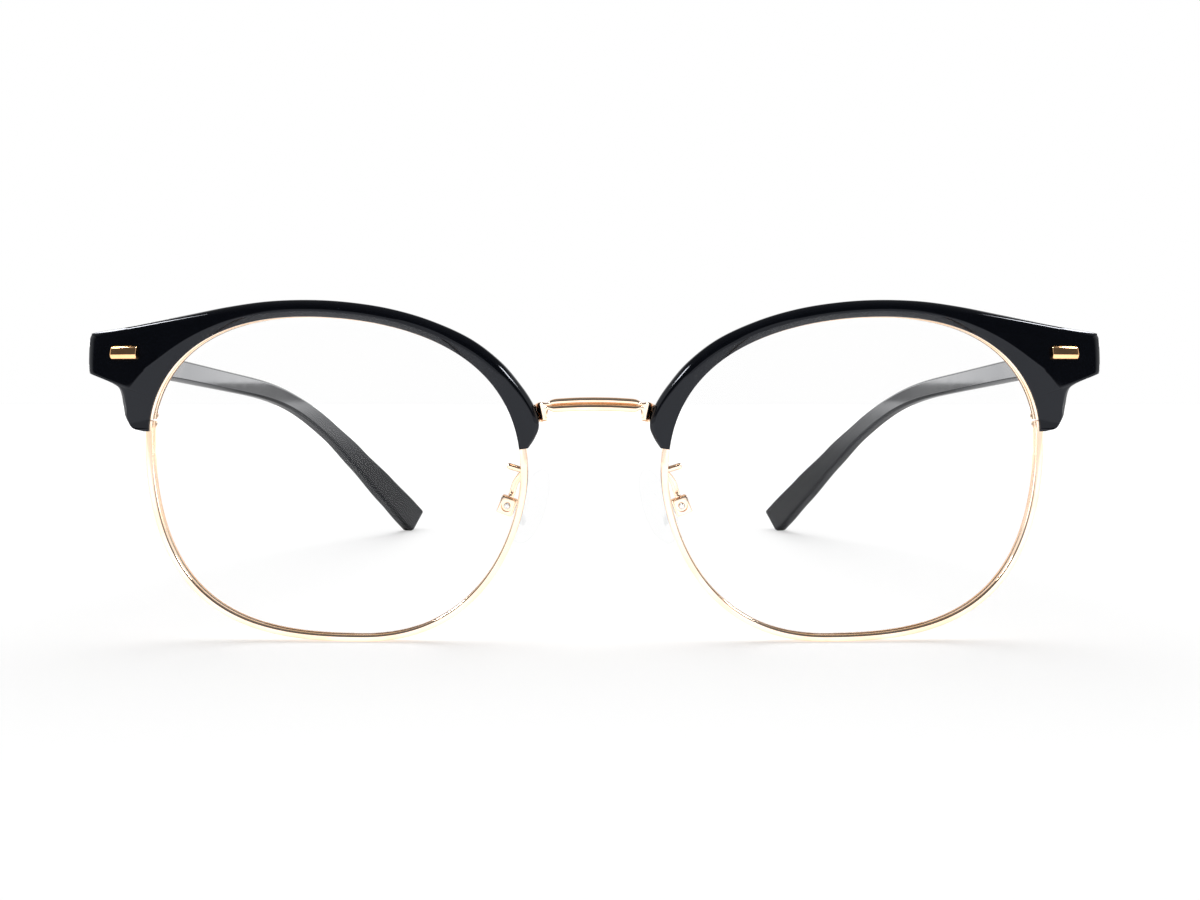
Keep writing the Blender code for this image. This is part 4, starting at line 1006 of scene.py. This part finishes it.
bridge = {
    "length": 0.0131, "height": 0.00185, "thickness": 0.0014, "setback": 0.0013, "arch": 0.0003,
    "level": 0.03245, "neckHeight": 0.0009, "neckFrom": 0.9, "thin": 0.6, "seatReach": 0.0008,
    "strapHeight": 0.0025, "strapDrop": 0.0005, "strapSlant": 0.25, "strapThickness": 0.0008,
    "stationsPerSpan": 6, "sectionSteps": 4, "lookAhead": 0.05,
    # half sections as up and deep, and places as shares of the way with their height or depth
    "bar": ((-1.00, 0.50), (-0.88, 0.16), (-0.52, 0.00), (-0.10, 0.10), (0.08, 0.36), (0.24, 0.12),
            (0.58, 0.00), (0.88, 0.16), (1.00, 0.50), (1.00, 0.80), (0.80, 1.00), (-0.80, 1.00), (-1.00, 0.80)),
    "strap": ((-1.00, 0.35), (-0.90, 0.05), (-0.52, 0.00), (-0.10, 0.00), (0.08, 0.00), (0.24, 0.00),
              (0.58, 0.00), (0.90, 0.05), (1.00, 0.35), (1.00, 0.75), (0.90, 1.00), (-0.90, 1.00), (-1.00, 0.75)),
    "barPlaces": ((0.00, 1.00), (0.34, 1.00), (0.66, 0.99), (0.84, 0.96), (0.92, 0.76), (0.98, 0.50)),
    "strapPlaces": ((0.06, 0.03, 0.45), (0.125, 0.12, 0.90), (0.165, 0.34, 1.00), (0.185, 0.66, 1.00),
                    (0.23, 0.98, 1.00), (0.36, 1.12, 1.00), (0.62, 1.06, 1.00), (1.00, 1.00, 1.00)),
}


def bridgePlaces():
    # middle, height, thickness and how far the section has gone from bar to strap
    half, level, depth = bridge["length"] / 2, bridge["level"], frontY + bridge["setback"]
    places = []
    for share, tall in bridge["barPlaces"]:
        middle = Vector((half * share, depth, level + bridge["arch"] * (1 - share * share)))
        thickness = bridge["thickness"] * mix(bridge["thin"], 1, tall)
        places.append((middle, bridge["height"] * tall, thickness, 0.0 if tall > bridge["neckFrom"] else 0.5))
    turn = eyeFoot(Vector((eyeX - half, level - eyeZ)))[0]
    thickness = bridge["strapThickness"]
    seat = rimPoint(turn, bridge["seatReach"], rim["depth"] + eyeShape["seatGap"] + thickness / 2)
    for across, back, tall in bridge["strapPlaces"]:
        middle = Vector((mix(half, seat.x, across), mix(depth, seat.y, back),
                         mix(level, seat.z, across) - bridge["strapDrop"] * tall))
        places.append((middle, mix(bridge["neckHeight"], bridge["strapHeight"], tall), thickness, 1.0))
    return places


def makeBridge():
    places = bridgePlaces()
    last, ahead = len(places) - 1, bridge["lookAhead"]
    middles = [place[0] for place in places]
    sizes = [Vector(place[1:]) for place in places]
    rings = []
    for count in range(last * bridge["stationsPerSpan"] + 1):
        position = count / bridge["stationsPerSpan"]
        middle = splinePoint(middles, position)
        height, thickness, toStrap = splinePoint(sizes, position)
        toStrap = min(max(toStrap, 0), 1)
        along = (splinePoint(middles, min(position + ahead, last))
                 - splinePoint(middles, max(position - ahead, 0)))
        along.z = 0
        if count == 0:
            along = Vector((1, 0, 0))
        along.normalize()
        forwards = Vector((along.y, -along.x, 0))
        corners = [Vector((mix(bar[0], strap[0], toStrap), mix(bar[1], strap[1], toStrap)))
                   for bar, strap in zip(bridge["bar"], bridge["strap"])]
        ring = []
        loop = corners[-2:] + corners + corners[:2]
        for index in range(len(corners)):
            for step in range(bridge["sectionSteps"]):
                up, deep = splinePoint(loop, 2 + index + step / bridge["sectionSteps"])
                up = min(max(up, -1), 1)
                deep = min(max(deep, 0), 1)
                ring.append(middle + forwards * thickness * (0.5 - deep)
                            + Vector((bridge["strapSlant"] * toStrap, 0, 1)) * (up * height / 2))
        rings.append(ring)
    mirrored = [[Vector((-point.x, point.y, point.z)) for point in ring] for ring in reversed(rings[1:])]
    return finishPiece(skin(mirrored + rings), "bridgeBar", "bridge", goldFinish, angle=40)


makeBridge()
print("bridge made")


# Nose pads with their boxes, screws, mounts and arms

nosePad = {
    "length": 0.0112, "width": 0.0066, "thickness": 0.0021, "lean": math.radians(21),
    "splay": math.radians(32), "reach": 0.00335, "stepBack": 0.0018, "drop": 0.0003,
    "narrow": 0.16, "sides": 64, "ringSteps": 4,
    "rings": ((0.0, -0.50), (0.40, -0.50), (0.62, -0.50), (0.92, -0.38), (1.00, -0.05), (0.90, 0.28),
              (0.62, 0.46), (0.25, 0.50), (0.0, 0.505)),
}
padMount = {"length": 0.0056, "width": 0.0036, "thickness": 0.0005, "eyeThickness": 0.0007,
            "eyeRadius": 0.00068, "stem": 0.85, "edge": 0.00008}
padBox = {"inset": 0.01235, "height": 0.0183, "setback": 0.0072, "width": 0.0023, "length": 0.0025,
          "depth": 0.0024, "wall": 0.0004, "frontWall": 0.0008, "edge": 0.00034,
          "boreRadius": 0.00082, "boreDepth": 0.0007}
padScrew = {"radius": 0.00032, "headRadius": 0.00046, "headHeight": 0.00060,
            "slot": 0.00022, "slotDepth": 0.0002}
padArm = {"radius": 0.00042, "footRise": 0.0051, "footTurns": (3.0, 5.0), "tailReach": 0.0024,
          "tailSizes": (0.62, 0.86, 0.97), "tailShare": 0.5, "rises": (1.7, 0.25),
          "bends": ((0.20, 0.40, 0.10), (0.72, 0.74, 0.52)), "sides": 20, "steps": 90}


def padBoxPlace():
    upright = Vector((-math.sin(nosePad["lean"]), 0, math.cos(nosePad["lean"])))
    level = Vector((-math.cos(nosePad["lean"]), 0, -math.sin(nosePad["lean"])))
    origin = Vector((padBox["inset"], frontY + padBox["setback"], padBox["height"]))
    return placeMatrix(origin, level, Vector((0, 1, 0)), upright)


def padPlace():
    box = padBoxPlace()
    level, upright = box.col[0].to_3d(), box.col[2].to_3d()
    inwards = level * math.cos(nosePad["splay"]) + Vector((0, 1, 0)) * math.sin(nosePad["splay"])
    origin = box.translation + Vector((-nosePad["reach"], nosePad["stepBack"], -nosePad["drop"]))
    return placeMatrix(origin, inwards, upright.cross(inwards), upright)


def makeNosePad():
    place = padPlace()
    profile = [Vector(ring) for ring in nosePad["rings"]]
    lowest, highest = nosePad["rings"][0][1], nosePad["rings"][-1][1]
    rings = []
    for count in range(1, (len(profile) - 1) * nosePad["ringSteps"]):
        size, level = splinePoint(profile, count / nosePad["ringSteps"])
        size, level = min(size, 1.0), min(max(level, lowest), highest)
        ring = []
        for side in range(nosePad["sides"]):
            angle = 2 * math.pi * side / nosePad["sides"]
            narrow = 1 + nosePad["narrow"] * math.sin(angle)
            ring.append(place @ Vector((level * nosePad["thickness"],
                                        math.cos(angle) * nosePad["width"] / 2 / narrow * size,
                                        math.sin(angle) * nosePad["length"] / 2 * size)))
        rings.append(ring)
    pads = bothSides(skin(rings), "nose_pad", padFinish, angle=60)


def makePadMount():
    pad, box = padPlace(), padBoxPlace()
    back = -nosePad["thickness"] / 2 - eyeShape["seatGap"] - padMount["thickness"]
    plate = addBlock((back, -padMount["width"] / 2, -padMount["length"] / 2),
                     (back + padMount["thickness"], padMount["width"] / 2, padMount["length"] / 2),
                     pad, padMount["edge"])
    turn = Matrix.Rotation(-math.pi / 2, 4, 'X')
    half = padMount["eyeThickness"] / 2
    eye = addRound(padMount["eyeRadius"], -half, half, box @ turn, padMount["edge"])
    inwards, along = pad.col[0].to_3d(), box.col[0].to_3d()
    middle = pad @ Vector((back + padMount["thickness"] / 2, 0, 0))
    reach = (middle - box.translation).dot(inwards) / along.dot(inwards)
    tall = padMount["eyeRadius"] * padMount["stem"]
    stem = addBlock((0, -half * padMount["stem"], -tall), (reach, half * padMount["stem"], tall), box)
    return bothSides(joinPieces([plate, eye, stem]), "pad_mount", insertFinish)


def makePadBox():
    place = padBoxPlace()
    wide, deep, tall, wall = padBox["width"] / 2, padBox["depth"] / 2, padBox["length"] / 2, padBox["wall"]
    box = addBlock((-wide, -deep, -tall), (wide, deep, tall), Matrix.Identity(4))
    turn = Matrix.Rotation(math.pi / 2, 4, 'X')
    hollow = addBlock((-wide + wall, -deep + padBox["frontWall"], -tall - overrun),
                      (wide + overrun, deep - wall, tall - wall), Matrix.Identity(4))
    box = cutAway(box, hollow)
    roundEdges(box, padBox["edge"], 4)
    floor = -deep + padBox["boreDepth"]
    bore = addRound(padBox["boreRadius"], 0, 2 * overrun, Matrix.Translation((0, floor, 0)) @ turn)
    box = cutAway(box, bore)
    box.data.transform(place)
    bothSides(box, "pad_box", goldFinish)
    screw = addScrew(padScrew, padBox["depth"] - padBox["boreDepth"],
                     place @ Matrix.Translation((0, floor - eyeShape["seatGap"], 0)) @ turn)
    bothSides(screw, "pad_screw", steelFinish)


def padArmPath():
    turn = halve(*padArm["footTurns"],
                 lambda turn: rimPoint(turn, 0, 0).z < padBox["height"] + padArm["footRise"])
    radius = padArm["radius"]
    behind = rim["depth"] + eyeShape["seatGap"] + radius
    tail = rimPoint(turn, rim["width"] / 2 - padArm["tailReach"], behind)
    foot = rimPoint(turn, rim["width"] / 2, behind)
    tail.z += padArm["tailReach"] / 3
    box = padBoxPlace()
    stop = box @ Vector((0, 0, padBox["length"] / 2 + eyeShape["seatGap"]))
    above, end = [stop + box.col[2].to_3d() * radius * share for share in padArm["rises"]]
    bends = [foot + (above - foot) * Vector(shares) for shares in padArm["bends"]]
    points = [tail, mix(tail, foot, padArm["tailShare"]), foot, *bends, above, end]
    spans, steps = len(points) - 1, padArm["steps"]
    return [splinePoint(points, spans * index / steps) for index in range(steps + 1)] + [stop]


def makePadArm():
    path, sizes, sides = padArmPath(), padArm["tailSizes"], padArm["sides"]
    rings = []
    sideWay = None
    for index, point in enumerate(path):
        along = (path[min(index + 1, len(path) - 1)] - path[max(index - 1, 0)]).normalized()
        sideWay = sideWay or along.orthogonal().normalized()
        sideWay = (sideWay - along * sideWay.dot(along)).normalized()
        otherWay = along.cross(sideWay)
        radius = padArm["radius"] * (sizes[index] if index < len(sizes) else 1)
        angles = [2 * math.pi * side / sides for side in range(sides)]
        rings.append([point + (sideWay * math.cos(angle) + otherWay * math.sin(angle)) * radius
                      for angle in angles])
    return bothSides(skin(rings), "pad_arm", goldFinish, angle=50)


makeNosePad()
makePadMount()
makePadBox()
makePadArm()
print("nose pads made")


# Studio: pale floor, white surroundings, a dark side behind the camera, two strips and two low lamps

studio = {
    # the floor's colour, and its glow near the object and further off, as the camera sees it
    "floorSize": 6.0, "floorColour": 0.57, "floorGlow": 0.455, "farGlow": 0.80, "glowReach": (0.25, 1.0),
    # the floor in the gloss, a painted reflection: in front of the object, close behind it as a painted bright band,
    # and further off in two steps, with a painted dark band of shade between
    "mirrorFront": 1.08, "mirrorNear": 1.2, "mirrorFar": 2.6, "behindFrom": (-0.07, 0.0),
    "mirrorNearEnd": (0.02, 0.06), "mirrorFarSteps": ((0.15, 0.9), (0.9, 2.4)),
    # the surroundings in the gloss: a room with a dark front, a dim ceiling and a bright back
    "room": 1.10, "frontDark": 0.08, "frontStart": (0.10, 0.14), "frontSides": (0.22, 0.40),
    "ceiling": 0.16, "ceilingFrom": (0.45, 0.75), "back": 1.3, "backFrom": (0.80, 0.92),
    # the plain light on the object: low all round, and bright from high up and behind
    "surround": (0.36, 3.5), "overhead": (0.5, 0.866), "overheadFrom": (0.8, 0.95),
    "lamps": (      # these only show in the gloss: the world lights the object evenly
        {"name": "stripLeft", "place": (-0.63, -0.20, 0.60), "size": (0.16, 0.21), "radiance": 32.0},
        {"name": "stripRight", "place": (0.63, -0.20, 0.60), "size": (0.16, 0.21), "radiance": 32.0},
        {"name": "backLeft", "place": (-0.62, 1.00, 0.125), "size": (0.34, 0.16), "radiance": 2.7},
        {"name": "backRight", "place": (0.62, 1.00, 0.125), "size": (0.34, 0.16), "radiance": 2.7},
    ),
    "aim": (0, 0, 0.035),
}
view = {"distance": 0.165, "height": 0.0343, "lens": 36.39, "sensor": 36, "shiftX": 0.00467, "shiftY": -0.04775,
        "clip": (0.005, 20)}


def makeFloor():
    deselectAll()
    bpy.ops.mesh.primitive_plane_add(size=studio["floorSize"])
    floor = bpy.context.object
    floor.name = "floor"
    finish = Finish("paleFloor")
    seen, mirrored, through = finish.rays()
    place = finish.node('ShaderNodeTexCoord', out="Object")
    away = finish.node('ShaderNodeVectorMath', {"operation": 'LENGTH'}, {0: place}, "Value")
    alongY = finish.axis(place, 1)
    behind = finish.span(alongY, *studio["behindFrom"])
    level = finish.span(away, *studio["glowReach"], studio["floorGlow"], studio["farGlow"])
    near, far = [finish.span(away, *limits, 0, studio["mirrorFar"] / 2) for limits in studio["mirrorFarSteps"]]
    close = finish.span(alongY, *studio["mirrorNearEnd"], studio["mirrorNear"], 0)
    # painted shade and glow, seen only in reflections: bright close behind the object, dark just past that where its
    # shade falls, then brighter further off
    paintedGlossLevel = (1 - behind) * studio["mirrorFront"] + behind * (near + far + close)
    glow = finish.node('ShaderNodeEmission', None,
                       {"Strength": (seen + through) * level + mirrored * paintedGlossLevel})
    matt = finish.node('ShaderNodeBsdfDiffuse', None, {"Color": (*[studio["floorColour"]] * 3, 1)})
    floor.data.materials.append(finish.surface(finish.node('ShaderNodeAddShader', None, {0: matt, 1: glow})))


def makeWorld():
    world = bpy.data.worlds.new("studioWorld")
    bpy.context.scene.world = world
    finish = Finish("studioWorld", world)
    seen, mirrored, through = finish.rays()
    way = finish.node('ShaderNodeTexCoord', out="Generated")
    alongY, alongZ = finish.axis(way, 1), finish.axis(way, 2)
    front = finish.span(alongY * -1, *studio["frontSides"]) * finish.span(alongZ, *studio["frontStart"])
    top = finish.span(alongZ, *studio["ceilingFrom"])
    behind = finish.span(alongY, *studio["backFrom"])
    room = (studio["room"] - front * (studio["room"] - studio["frontDark"])
            + behind * (studio["back"] - studio["room"]))
    room = room * (1 - top) + top * studio["ceiling"]
    overhead = alongY * studio["overhead"][0] + alongZ * studio["overhead"][1]
    plain = finish.span(overhead, *studio["overheadFrom"], *studio["surround"])
    level = seen + through + mirrored * room + (1 - seen - mirrored - through) * plain
    glow = finish.node('ShaderNodeBackground', None, {"Color": (1, 1, 1, 1), "Strength": level})
    finish.surface(glow, 'ShaderNodeOutputWorld')


def makeLamps():
    for lamp in studio["lamps"]:
        data = bpy.data.lights.new(lamp["name"], 'AREA')
        data.shape = 'RECTANGLE'
        data.size, data.size_y = lamp["size"]
        data.energy = lamp["radiance"] * data.size * data.size_y * 4     # watts that give this radiance
        holder = bpy.data.objects.new(data.name, data)
        place = Vector(lamp["place"])
        backwards = (place - Vector(studio["aim"])).normalized()
        across = Vector((0, 0, 1)).cross(backwards).normalized()
        holder.matrix_world = placeMatrix(place, across, backwards.cross(across), backwards)
        holder.visible_camera = False
        holder.visible_diffuse = False
        bpy.context.scene.collection.objects.link(holder)


def makeCamera():
    data = bpy.data.cameras.new("photoView")
    data.lens = view["lens"]
    data.sensor_width = view["sensor"]
    data.shift_x, data.shift_y = view["shiftX"], view["shiftY"]
    data.clip_start, data.clip_end = view["clip"]
    holder = bpy.data.objects.new("photoView", data)
    holder.location = (0, frontY - view["distance"], view["height"])
    holder.rotation_euler = (math.pi / 2, 0, 0)
    bpy.context.scene.collection.objects.link(holder)
    bpy.context.scene.camera = holder


makeFloor()
makeWorld()
makeLamps()
makeCamera()
bpy.context.scene.view_settings.view_transform = 'Standard'
print("studio made")
